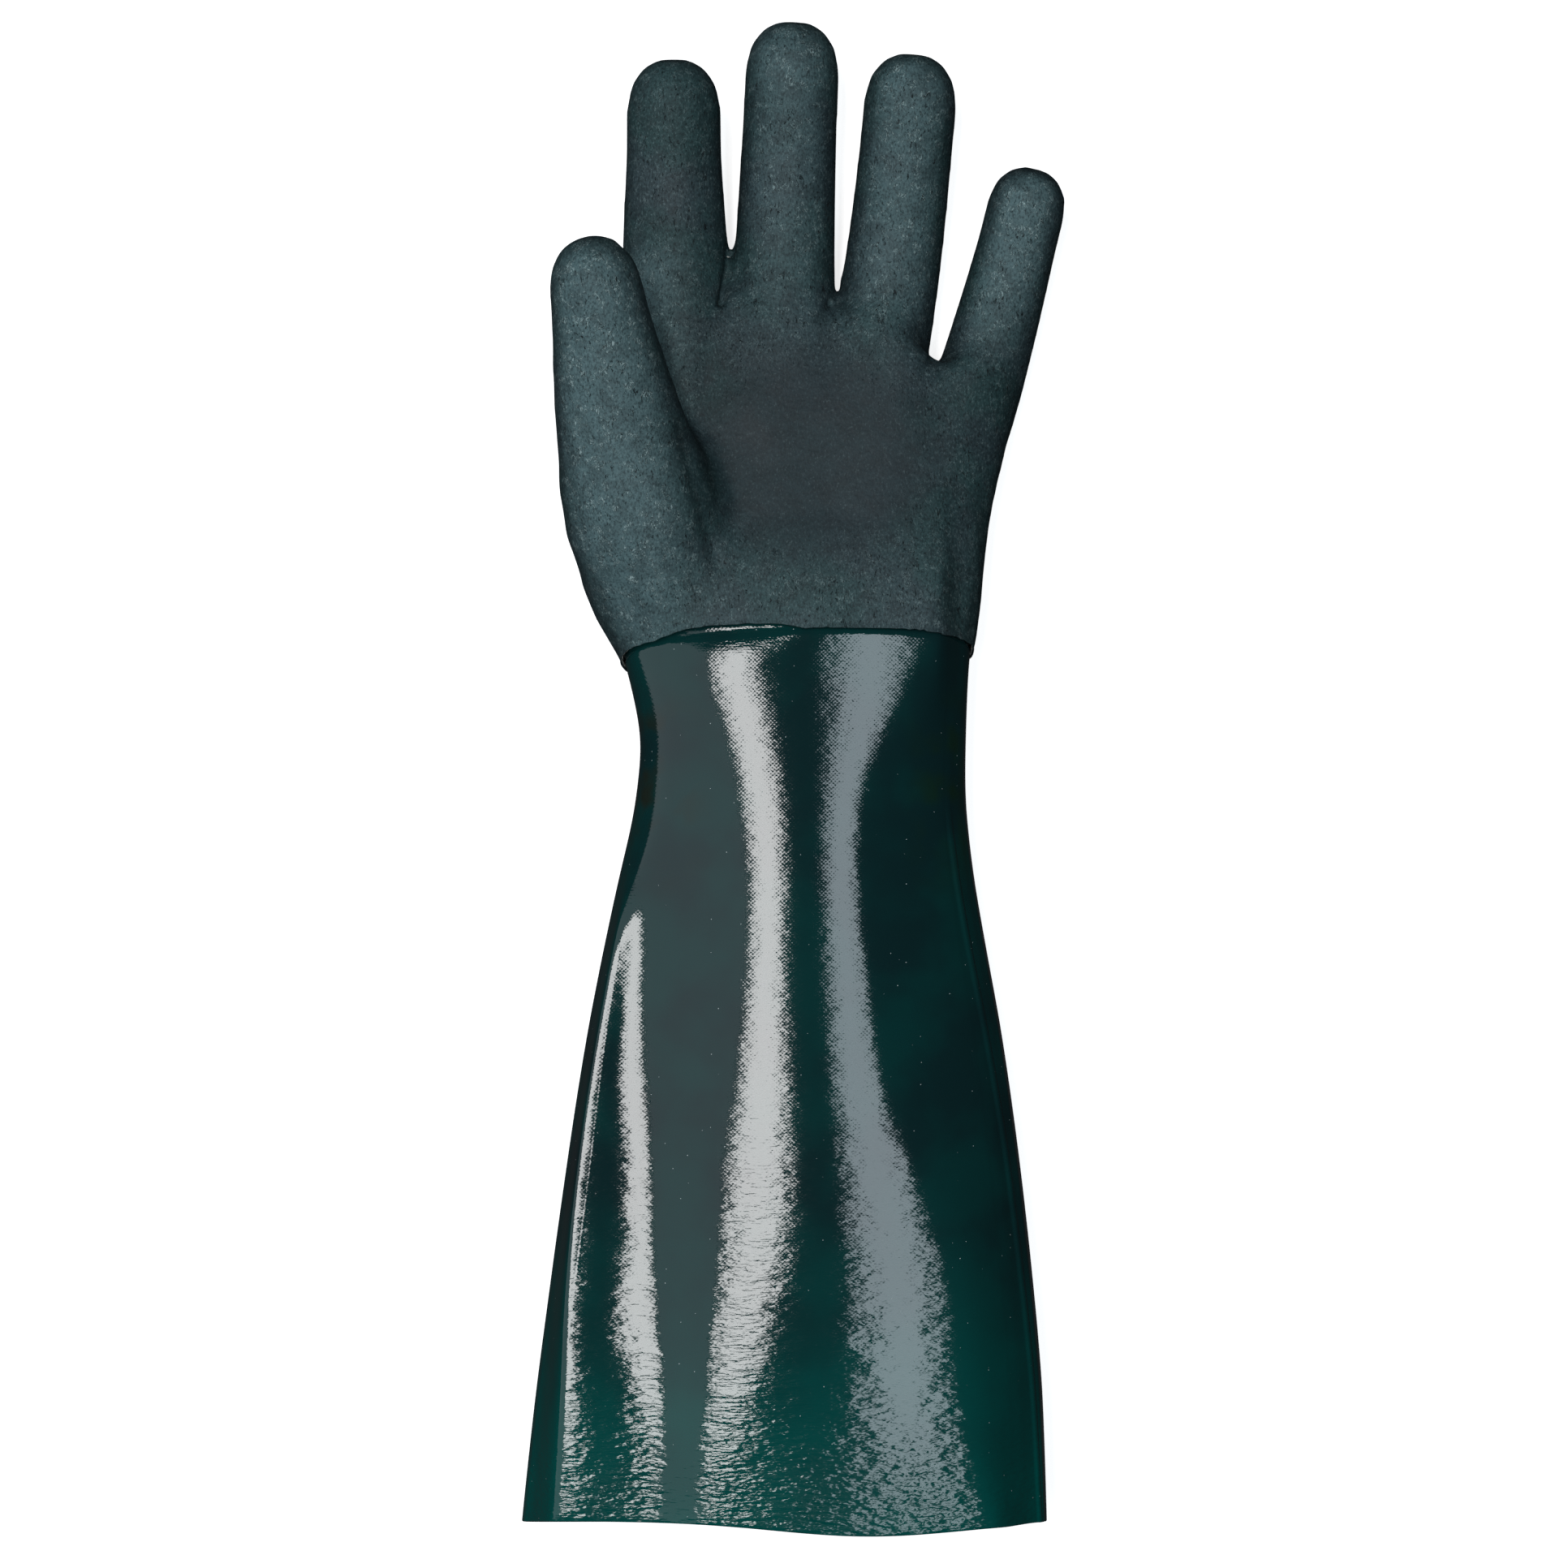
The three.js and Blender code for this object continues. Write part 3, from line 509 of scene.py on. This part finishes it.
SHOULDER_BEYOND = (0.07, 12)  # how much further out, and how much steeper, the left side goes on
FOLD_START = 0.13  # share of the sleeve's length where the fold on the thumb's side begins
FOLD_FULL = 0.3

# Where the leans replace the solid's top: from none to all on the left, and from all to none on the right
PLAIN_LEFT = (-0.93, -0.55)
PLAIN_RIGHT = (0.86, 0.96)
RIDGE_MARGIN = 0.01
SLOPE_MARGIN = 0.03
KEPT_ACROSS = 0.05  # the place across that keeps the solid's height
TOP_STEPS = 401
LEAN_ROUNDS = 14
ROW_ROUNDS = 26
CHANGE_ROUNDS = 12

# The side seam by shares of the sleeve's length: its place across, as a share of half the width there
SEAM_ACROSS = [(0.0, 0.86), (0.18, 0.88), (0.55, 0.945), (1.0, 0.982)]
SEAM_START = 0.16
SEAM_FULL = 0.24

# The hollow in the sleeve below the coat's edge, on the thumb's side
HOLLOW_REACH = 9 * MM
HOLLOW_DEPTH = 1.0 * MM
HOLLOW_ACROSS = (-0.85, -0.6, -0.25, 0.16)

# How close the columns stand, by the turn round the section where each stretch ends
COLUMN_STRETCHES = [(4, 1.0), (38, 2.6), (150, 1.5), (176, 2.0), (360, 0.6)]


def across_at(at, stretch, end):
    """Where one end of a stretch lies across, at a share of the way down."""
    column = 1 + list(STRETCH_LEANS).index(stretch)
    return np.interp(at, [row[0] for row in SLEEVE_TOP], [row[column][end] for row in SLEEVE_TOP])


def column_turns():
    """The columns' turns round the section, from 0 on the little finger's side through 90 degrees on top."""
    ends, closeness = zip(*COLUMN_STRETCHES)
    starts = (0, *ends[:-1])
    counts = np.cumsum([0] + [(end - start) * close for start, end, close in zip(starts, ends, closeness)])
    shares = np.arange(SLEEVE_COLUMNS) / SLEEVE_COLUMNS
    return np.radians(np.interp(shares * counts[-1], counts, (0, *ends)))


class SleeveForm:
    """The sleeve's outer face as rows of places, from the end of the lap to the rim."""

    def __init__(self):
        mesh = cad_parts["sleeve"].data
        corners = [vertex.co for vertex in mesh.vertices]
        self.solid = BVHTree.FromPolygons(corners, [tuple(face.vertices) for face in mesh.polygons])
        self.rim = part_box("sleeve")[0][1] + RIM_INSET
        self.rise = -EDGE_NORMAL.z / EDGE_NORMAL.y
        self.skew = -EDGE_NORMAL.x / EDGE_NORMAL.y
        self.edge = EDGE_POINT.y
        lap = np.linspace(self.edge + LAP_LENGTH - LAP_SHORT, self.edge, LAP_ROWS, endpoint=False)
        self.levels = np.concatenate([lap, np.linspace(self.edge, self.rim, SLEEVE_ROWS)])
        self.down = np.clip((self.edge - self.levels) / (self.edge - self.rim), 0, 1)
        self.turned = 1 - ramp(self.down, 0, TILTED_SHARE)
        self.turns = column_turns()
        self.middles = self.row_middles()
        self.rows = self.base_rows()

    def level_at(self, row, x, z):
        """Where a row's plane lies along the sleeve, at a place across and a height."""
        lean = (x - EDGE_POINT.x) * self.skew + (z - EDGE_POINT.z) * self.rise
        return self.levels[row] + self.turned[row] * lean

    def row_middles(self):
        """Middle, half width and height of the section in each row, from rays to both sides and up."""
        found = []
        for row in range(len(self.levels)):
            reach = []
            for across, up, height in RAYS:
                side = Vector((across, across * self.turned[row] * self.skew, up))
                start = Vector((EDGE_POINT.x, self.level_at(row, EDGE_POINT.x, height), height))
                reach.append(self.solid.ray_cast(start + side * CASTING_DISTANCE, -side)[0])
            found.append((reach[0].x, reach[1].x, reach[2].z))
        left, right, top = evened(np.array(found), MIDDLE_ROUNDS, 0).T
        return np.stack([(left + right) / 2, top * MIDDLE_HEIGHT, (right - left) / 2], 1)

    def base_rows(self):
        """The solid's section in each row, with its facets evened out."""
        reach = np.empty((len(self.levels), SLEEVE_COLUMNS))
        spokes = []
        for row in range(len(self.levels)):
            x, z, half = self.middles[row]
            flatness = z / half
            across = Vector((1, self.turned[row] * self.skew, 0))
            up = Vector((0, self.turned[row] * self.rise, 1)) * flatness
            middle = Vector((x, self.level_at(row, x, z), z))
            spokes.append((middle, across, up))
            for column, turn in enumerate(self.turns):
                spoke = across * math.cos(turn) + up * math.sin(turn)
                hit = self.solid.ray_cast(middle + spoke * CASTING_DISTANCE, -spoke)[0]
                reach[row, column] = (hit - middle).length / spoke.length
        reach[:LAP_ROWS] += LAP_RECESS
        reach = evened(reach, FACETS_AROUND ** 2, 1, closed=True)
        reach = evened(reach, FACETS_ALONG ** 2, 0)
        rows = np.empty((*reach.shape, 3))
        for row, (middle, across, up) in enumerate(spokes):
            spoke = np.outer(np.cos(self.turns), across) + np.outer(np.sin(self.turns), up)
            rows[row] = np.array(middle) + spoke * reach[row][:, None]
        return rows

    def top_leans(self, row):
        """For one row: places across, the leans there, how full the fold is, and the stretches' ends."""
        at = self.down[row]
        fold = ramp(at, FOLD_START, FOLD_FULL)
        ends = {(stretch, end): across_at(at, stretch, end) for stretch in STRETCH_LEANS for end in (0, 1)}
        plain = ([-SHOULDER, ends["crown", 0]], [-SHOULDER_LEAN, STRETCH_LEANS["crown"][0]])
        further, steeper = SHOULDER_BEYOND
        leans = {-SHOULDER - further: -SHOULDER_LEAN - steeper, SHOULDER: SHOULDER_LEAN}
        folded = {}
        for stretch in FOLD_STRETCHES:
            for end, lean in enumerate(STRETCH_LEANS[stretch]):
                folded[ends[stretch, end]] = lean
        bank = BANK_LEANS[0] + (BANK_LEANS[1] - BANK_LEANS[0]) * ramp(at, *BANK_PARTS)
        folded[(ends["ridge", 1] + ends["valley", 0]) / 2] = bank
        folded[(ends["valley", 1] + ends["crown", 0]) / 2] = FLANK_LEAN
        for across, lean in folded.items():
            leans[across] = fold * lean + (1 - fold) * np.interp(across, *plain)
        for (stretch, end), across in ends.items():
            if stretch not in FOLD_STRETCHES:
                leans[across] = STRETCH_LEANS[stretch][end]
        places, angles = zip(*sorted(leans.items()))
        return places, angles, fold, ends

    def shape_top(self):
        """Gives the top its own leans, which carry its folds, and leaves the sides and the underside."""
        fine = np.linspace(-1, 1, TOP_STEPS)
        self.top_change = np.zeros((len(self.levels), len(fine)))
        leans = np.empty_like(self.top_change)
        weights = np.empty_like(self.top_change)
        for row in range(len(self.levels)):
            places, angles, fold, ends = self.top_leans(row)
            leans[row] = evened(np.interp(fine, places, angles), LEAN_ROUNDS, 0)
            left_full = PLAIN_LEFT[1] * (1 - fold) + (ends["ridge", 0] + RIDGE_MARGIN) * fold
            left_none = PLAIN_LEFT[0] * (1 - fold) - fold
            right_full = min(ends["slope", 1] + SLOPE_MARGIN, PLAIN_RIGHT[0])
            weights[row] = ramp(fine, left_none, left_full) * (1 - ramp(fine, right_full, PLAIN_RIGHT[1]))
        leans = evened(leans, ROW_ROUNDS, 0)
        weights = evened(weights, ROW_ROUNDS, 0)
        top = np.sin(self.turns) > 0
        start = np.argmin(abs(fine - KEPT_ACROSS))
        for row in range(len(self.levels)):
            x, _, half = self.middles[row]
            points = self.rows[row]
            across = (points[top, 0] - x) / half
            order = np.argsort(across)
            base = np.interp(fine, across[order], points[top, 2][order])
            fall = np.cumsum(np.tan(np.radians(leans[row]))) * (fine[1] - fine[0]) * half
            wished = base[start] - (fall - fall[start])
            self.top_change[row] = weights[row] * (wished - base)
        self.top_change = evened(self.top_change, CHANGE_ROUNDS, 0)
        for row in range(len(self.levels)):
            x, _, half = self.middles[row]
            points = self.rows[row]
            across = (points[:, 0] - x) / half
            change = np.interp(across, fine, self.top_change[row]) * top
            below = max(self.edge - self.levels[row], 0)
            change -= top * self.hollow_at(across) * max(1 - below / HOLLOW_REACH, 0) ** 2
            points[:, 2] += change
        self.fine = fine

    def hollow_at(self, across):
        """How deep the hollow is at the coat's edge, by the place across."""
        return HOLLOW_DEPTH * ramp(across, *HOLLOW_ACROSS[:2]) * (1 - ramp(across, *HOLLOW_ACROSS[2:]))

    def raise_seam(self):
        downs, shares = zip(*SEAM_ACROSS)
        for row in range(len(self.levels)):
            x, _, half = self.middles[row]
            points = self.rows[row]
            share = np.interp(self.down[row], downs, shares)
            quarter = np.flatnonzero(self.turns < math.pi / 2)
            across = (points[quarter, 0] - x) / half
            run = np.concatenate([[0], np.cumsum(np.linalg.norm(np.diff(points[quarter], axis=0), axis=1))])
            middle = np.interp(-share, -across, run)
            height = ramp(abs(run - middle), SEAM_WIDTH / 2, SEAM_WIDTH / 2 - SEAM_FLANK)
            height = height * SEAM_HEIGHT * ramp(self.down[row], SEAM_START, SEAM_FULL)
            ahead = np.gradient(points[quarter], axis=0)
            outwards = np.stack([ahead[:, 2], np.zeros(len(quarter)), -ahead[:, 0]], 1)
            outwards /= np.linalg.norm(outwards, axis=1)[:, None]
            points[quarter] += outwards * height[:, None]

    def at_edge(self, places):
        """How much higher the shaped top stands than the solid, at places near the coat's edge."""
        x, z, half = self.middles[LAP_ROWS]
        across = (places[:, 0] - x) / half
        change = np.interp(across, self.fine, self.top_change[LAP_ROWS]) - self.hollow_at(across)
        return change * ramp(places[:, 2], z, z + EDGE_BLEND_HEIGHT)


def wall_rows(form):
    """The sleeve's closed section from the lap down the outside, round the rim and up the inside."""
    outer = form.rows
    along = np.gradient(outer, axis=0)
    around = (np.roll(outer, -1, 1) - np.roll(outer, 1, 1)) / 2
    normals = np.cross(around, along)
    normals /= np.linalg.norm(normals, axis=2)[:, :, None]
    if (normals[len(outer) // 2, :, 2] * np.sin(form.turns)).sum() < 0:
        normals = -normals
    up = form.edge - form.levels
    recess = LAP_RECESS * ramp(-up, 0, LAP_RECESS_RISE)
    outside = outer - normals * recess[:, None, None]
    x, z = outer[:, :, 0], outer[:, :, 2]
    bow = np.exp(-((x - RIM_BOW_AT) / RIM_BOW_REACH) ** 2) * ramp(z, *RIM_BOW_HEIGHTS)
    outside[:, :, 1] += (RIM_LEAN * z - RIM_BOW * bow) * ramp(form.down, RIM_TURN_START, 1)[:, None]
    rows = [outside]
    last, out = outside[-1], normals[-1]
    corner = np.radians(RIM_CORNER)
    steps = [(RIM_ROUND * (1 - math.cos(turn)), RIM_ROUND * math.sin(turn)) for turn in corner[1:]]
    steps += [(SLEEVE_WALL - RIM_ROUND * (1 - math.sin(turn)), RIM_ROUND * math.cos(turn)) for turn in corner]
    for depth, beyond in steps:
        ring = last - out * depth
        ring[:, 1] -= beyond
        rows.append(ring[None])
    picked = np.unique(np.linspace(0, len(outer) - 2, INNER_ROWS).astype(int))[::-1]
    inside = outside[picked] - normals[picked] * (SLEEVE_WALL - recess[picked])[:, None, None]
    rows.append(inside)
    return np.concatenate(rows), len(outer)


def make_sleeve(form, lining):
    places, outer_rows = wall_rows(form)
    count = len(places)
    bpy.ops.object.select_all(action="DESELECT")
    bpy.ops.mesh.primitive_grid_add(x_subdivisions=SLEEVE_COLUMNS, y_subdivisions=count, size=2)
    piece = bpy.context.object
    piece.name = "sleeve_coat"
    flat = read(piece)
    columns = np.rint((flat[:, 0] + 1) / 2 * SLEEVE_COLUMNS).astype(int) % SLEEVE_COLUMNS
    rows = np.rint((flat[:, 1] + 1) / 2 * count).astype(int) % count
    place(piece, places[rows, columns])
    piece.data.materials.append(gloss_finish())
    piece.data.materials.append(lining)
    inner = rows >= outer_rows + RIM_RINGS
    for face in piece.data.polygons:
        face.material_index = int(all(inner[corner] for corner in face.vertices))
    bpy.ops.object.mode_set(mode="EDIT")
    bpy.ops.mesh.select_all(action="SELECT")
    bpy.ops.mesh.remove_doubles(threshold=CLOSED_WITHIN)
    bpy.ops.mesh.normals_make_consistent(inside=False)
    bpy.ops.object.mode_set(mode="OBJECT")
    bpy.ops.object.shade_smooth()
    return piece


# Materials

class Value:
    """An output socket in an expression."""

    def __init__(self, finish, socket):
        self.finish = finish
        self.socket = socket

    def math(self, operation, *others):
        return self.finish.node("ShaderNodeMath", [self, *others], operation=operation)

    def __add__(self, other):
        return self.math("ADD", other)

    def __sub__(self, other):
        return self.math("SUBTRACT", other)

    def __mul__(self, other):
        return self.math("MULTIPLY", other)

    def __rsub__(self, other):
        return self.finish.node("ShaderNodeMath", [other, self], operation="SUBTRACT")

    __radd__ = __add__
    __rmul__ = __mul__

    def step(self, low, high, start=0, end=1):
        """A smooth step from start to end as the value goes from low to high."""
        sockets = [self, low, high, start, end]
        return self.finish.node("ShaderNodeMapRange", sockets, interpolation_type="SMOOTHSTEP")


class Finish:
    """A node material that is being put together."""

    def __init__(self, name):
        self.material = bpy.data.materials.new(name)
        self.material.use_nodes = True
        self.tree = self.material.node_tree
        self.tree.nodes.clear()

    def node(self, kind, values=(), output=0, **settings):
        """A node of one type, with its settings made first and then the values or links of its sockets."""
        made = self.tree.nodes.new(kind)
        for key, value in settings.items():
            setattr(made, key, value)
        pairs = values.items() if isinstance(values, dict) else enumerate(values)
        for key, value in pairs:
            if isinstance(value, Value):
                self.tree.links.new(value.socket, made.inputs[key])
            else:
                made.inputs[key].default_value = value
        return Value(self, made.outputs[output])

    def places(self):
        return self.node("ShaderNodeTexCoord", output="Object")

    def part(self, vector, axis):
        return self.node("ShaderNodeSeparateXYZ", [vector], output=axis)

    def scaled(self, vector, sizes):
        """The vector measured in the given sizes, so that 1 is one size."""
        shares = tuple(1 / size for size in sizes)
        return self.node("ShaderNodeVectorMath", [vector, shares], operation="MULTIPLY")

    def noise(self, vector, size, detail=2.0, roughness=0.5, distortion=0.0):
        sizes = size if isinstance(size, tuple) else (size, size, size)
        sockets = {
            "Vector": self.scaled(vector, sizes),
            "Scale": 1.0,
            "Detail": detail,
            "Roughness": roughness,
            "Distortion": distortion,
        }
        return self.node("ShaderNodeTexNoise", sockets, output="Fac")

    def cells(self, vector, size, feature="F1", output="Distance"):
        sizes = size if isinstance(size, tuple) else (size, size, size)
        return self.node(
            "ShaderNodeTexVoronoi",
            {"Vector": self.scaled(vector, sizes), "Scale": 1.0},
            output=output,
            feature=feature,
        )

    def attribute(self, name):
        return self.node("ShaderNodeAttribute", output="Fac", attribute_name=name)

    def mix(self, share, first, second):
        """A colour between two colours."""
        made = self.tree.nodes.new("ShaderNodeMix")
        made.data_type = "RGBA"
        for key, value in (("Factor_Float", share), ("A_Color", first), ("B_Color", second)):
            socket = next(item for item in made.inputs if item.identifier == key)
            if isinstance(value, Value):
                self.tree.links.new(value.socket, socket)
            elif key == "Factor_Float":
                socket.default_value = value
            else:
                socket.default_value = (*value, 1)
        return Value(self, next(item for item in made.outputs if item.identifier == "Result_Color"))

    def bump(self, height, depth):
        return self.node("ShaderNodeBump", {"Strength": 1.0, "Distance": depth, "Height": height})

    def surface(self, colour, roughness, normal, **constants):
        sockets = {"Base Color": colour, "Roughness": roughness, "Normal": normal}
        for key, value in constants.items():
            sockets[key.replace("_", " ")] = value
        shader = self.node("ShaderNodeBsdfPrincipled", sockets)
        self.node_output(shader)
        return self.material

    def node_output(self, shader):
        made = self.tree.nodes.new("ShaderNodeOutputMaterial")
        self.tree.links.new(shader.socket, made.inputs["Surface"])


MATTE_BLUE = (0.032, 0.056, 0.064)
MATTE_GREEN = (0.022, 0.056, 0.058)
# colour of the painted highlight on the crowns and the thumb's mound, also used for the lighter tips and heel
MATTE_CROWN_HIGHLIGHT = (0.086, 0.148, 0.158)
MATTE_HOLLOW_SHADE = (0.018, 0.031, 0.038)  # painted shade in the middle of the palm: darker and a little purplish, where the coat is also smoother
# the dark of grain, clouds and cracks, and of the painted shade on the sides
MATTE_DARK_AND_SHADE = (0.005, 0.010, 0.012)
# light grain, and the painted glints on the flecks
MATTE_LIGHT = (0.36, 0.48, 0.48)


def matte_finish():
    finish = Finish("matte_coat")
    at = finish.places()
    hollow = finish.attribute("hollow")
    crown_highlight_and_tips = finish.attribute("crown_highlight_and_tips")
    drift = finish.noise(at, 24 * MM, detail=3).step(0.38, 0.62)
    clouds = finish.noise(at, 6 * MM, detail=3, roughness=0.6)
    side = finish.attribute("side")
    grain = finish.noise(at, (0.6 * MM, 1.0 * MM, 0.6 * MM), detail=3, roughness=0.7)
    clots = finish.noise(at, 1.8 * MM, detail=2)
    patches = finish.noise(at, 7 * MM, detail=2)
    cracks = finish.noise(at, (0.7 * MM, 2.0 * MM, 0.7 * MM), detail=3, roughness=0.6, distortion=0.7)
    crack = cracks.step(0.61, 0.68) * patches.step(0.4, 0.56) * (1 - hollow)
    hairs = finish.noise(at, (1.1 * MM, 2.2 * MM, 1.1 * MM), detail=1, distortion=1.6)
    line = (hairs - 0.5).math("ABSOLUTE").step(0.05, 0.012)
    scatter = finish.noise(at, 3.2 * MM, detail=2).step(0.5, 0.6)
    # light hair-like flecks painted as glints, strongest on the highlit crowns
    glint_fleck = line * scatter * (crown_highlight_and_tips + 0.2) * (1 - hollow)
    colour = finish.mix(drift, MATTE_BLUE, MATTE_GREEN)
    # painted highlight on the crowns and the thumb's mound, and lighter tips and heel
    colour = finish.mix(crown_highlight_and_tips, colour, MATTE_CROWN_HIGHLIGHT)
    # painted shade in the middle of the palm
    colour = finish.mix(hollow * 0.8, colour, MATTE_HOLLOW_SHADE)
    # painted shade on the sides
    colour = finish.mix(side * 0.5, colour, MATTE_DARK_AND_SHADE)
    colour = finish.mix(clouds.step(0.62, 0.3) * 0.35, colour, MATTE_DARK_AND_SHADE)
    colour = finish.mix(grain.step(0.52, 0.36) * (0.6 - hollow * 0.2), colour, MATTE_DARK_AND_SHADE)
    colour = finish.mix(grain.step(0.56, 0.74) * (0.26 - hollow * 0.14), colour, MATTE_LIGHT)
    colour = finish.mix(crack * 0.9, colour, MATTE_DARK_AND_SHADE)
    # painted glints on the flecks
    colour = finish.mix(glint_fleck * 0.65, colour, MATTE_LIGHT)
    height = grain * (0.6 - hollow * 0.35) + clots * (0.9 - hollow * 0.4) - crack * 1.6 + glint_fleck * 0.6
    normal = finish.bump(height, 0.22 * MM)
    roughness = 0.6 + drift * 0.05 - clots * 0.08 - hollow * 0.05
    return finish.surface(colour, roughness, normal, Specular_IOR_Level=0.28)


GLOSS_GREEN = (0.004, 0.022, 0.024)
GLOSS_TEAL = (0.0, 0.078, 0.068)
GLOSS_BROWN = (0.016, 0.017, 0.010)
GLOSS_OLIVE = (0.008, 0.026, 0.008)
DUST = (0.55, 0.62, 0.62)
KNIT_PITCH = 1.15 * MM


def gloss_finish():
    finish = Finish("gloss_coat")
    at = finish.places()
    x, y = finish.part(at, "X"), finish.part(at, "Y")
    down = y.step(40 * MM, -225 * MM)
    low = y.step(-120 * MM, -222 * MM)
    drift = finish.noise(at, 30 * MM, detail=3).step(0.35, 0.65)
    stain = finish.noise(at, 14 * MM, detail=2).step(0.45, 0.65)
    colour = finish.mix(drift * 0.25 + low * 0.75, GLOSS_GREEN, GLOSS_TEAL)
    wrist = y.step(-40 * MM, -5 * MM) * y.step(30 * MM, 10 * MM)
    colour = finish.mix(stain * wrist * x.step(-20 * MM, -45 * MM) * 0.8, colour, GLOSS_BROWN)
    colour = finish.mix(stain * wrist * x.step(30 * MM, 45 * MM) * 0.6, colour, GLOSS_OLIVE)
    spot = finish.cells(at, 2.2 * MM)
    chosen = finish.part(finish.cells(at, 2.2 * MM, output="Color"), "X")
    speck = spot.step(0.075, 0.04) * chosen.step(0.72, 0.76)
    colour = finish.mix(speck, colour, DUST)
    turn = 2 * math.pi / KNIT_PITCH
    knit = (x * turn).math("SINE") * (y * turn).math("SINE")
    ripples = finish.noise(at, (4 * MM, 0.8 * MM, 4 * MM), detail=2, roughness=0.55)
    waves = finish.noise(at, (14 * MM, 6 * MM, 14 * MM), detail=1)
    leather = finish.noise(at, (4.6 * MM, 1.3 * MM, 4.6 * MM), detail=2, roughness=0.5)
    pores = finish.cells(at, (2.6 * MM, 1.2 * MM, 2.6 * MM), feature="SMOOTH_F1")
    rough = y.step(-60 * MM, -200 * MM)
    hem = y.step(-170 * MM, -224 * MM)
    height = ripples * (0.42 + rough * 0.1) + waves * (0.4 + rough * 0.9) + knit * (0.02 - down * 0.015)
    height = height + leather * (0.05 + rough * 0.5 + hem * 2.3) - pores * hem * 0.8 - speck * 0.2
    normal = finish.bump(height, 0.16 * MM)
    roughness = 0.07 + hem * 0.06 + speck * 0.4
    return finish.surface(colour, roughness, normal, Specular_IOR_Level=0.5)


LINING_WHITE = (0.62, 0.61, 0.56)
LINING_SHADE = (0.42, 0.43, 0.40)


def lining_finish():
    finish = Finish("knit_lining")
    at = finish.places()
    x, y, z = (finish.part(at, axis) for axis in ("X", "Y", "Z"))
    turn = 2 * math.pi / KNIT_PITCH
    ribs = ((x + z) * turn).math("SINE") * 0.5 + 0.5
    rows = (y * turn * 1.3).math("SINE") * 0.5 + 0.5
    fuzz = finish.noise(at, 0.7 * MM, detail=3, roughness=0.7)
    colour = finish.mix(ribs * rows * 0.7 + fuzz * 0.3, LINING_SHADE, LINING_WHITE)
    normal = finish.bump(ribs * rows + fuzz * 0.5, 0.25 * MM)
    return finish.surface(colour, 0.85 + fuzz * 0.1, normal)


PAPER_WHITE = (0.9, 0.9, 0.9)
PAPER_SHADE = (0.86, 0.86, 0.86)


def plain_floor():
    finish = Finish("floor_paper")
    at = finish.places()
    fibre = finish.noise(at, 3 * MM, detail=2)
    colour = finish.mix(fibre, PAPER_SHADE, PAPER_WHITE)
    sockets = {
        "Base Color": colour,
        "Roughness": 0.9,
        "Emission Color": (1, 1, 1, 1),
        "Emission Strength": FLOOR_GLOW,
    }
    shader = finish.node("ShaderNodeBsdfPrincipled", sockets)
    finish.node_output(shader)
    return finish.material


# Stage, lights and camera

def make_stage():
    bpy.ops.mesh.primitive_circle_add(
        vertices=FLOOR_CORNERS,
        radius=FLOOR_RADIUS,
        fill_type="NGON",
        location=(0, 0, FLOOR_LEVEL),
    )
    floor = bpy.context.object
    floor.name = "floor"
    floor.data.materials.append(plain_floor())
    floor.visible_glossy = False
    floor.visible_diffuse = False


def strip_light(name, place, size, radiance, colour):
    light = bpy.data.lights.new(name, "AREA")
    light.shape = "RECTANGLE"
    light.size, light.size_y = size
    light.energy = radiance * math.pi * size[0] * size[1]
    light.color = colour
    lamp = bpy.data.objects.new(name, light)
    lamp.location = place
    lamp.rotation_euler = (0, math.atan2(place[0], place[2]), 0)
    lamp.visible_camera = False
    bpy.context.scene.collection.objects.link(lamp)


def make_camera():
    camera = bpy.data.objects.new("camera", bpy.data.cameras.new("camera"))
    camera.location = (*VIEW_CENTRE, CAMERA_HEIGHT + VIEW_LEVEL)
    camera.data.lens = CAMERA_LENS
    camera.data.sensor_width = SENSOR_WIDTH
    bpy.context.scene.collection.objects.link(camera)
    bpy.context.scene.camera = camera


make_camera()
make_stage()
for light in LIGHTS:
    strip_light(*light)

world = bpy.data.worlds.new("studio")
world.use_nodes = True
world.node_tree.nodes["Background"].inputs["Color"].default_value = WORLD_COLOUR
world.node_tree.nodes["Background"].inputs["Strength"].default_value = WORLD_STRENGTH
bpy.context.scene.world = world
bpy.context.scene.view_settings.view_transform = "Standard"

form = SleeveForm()
form.shape_top()
form.raise_seam()

lining = lining_finish()
hand = make_hand(form, lining)
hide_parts(*HAND_NODES)
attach(hand, "root")

sleeve = make_sleeve(form, lining)
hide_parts("sleeve")
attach(sleeve, "root")
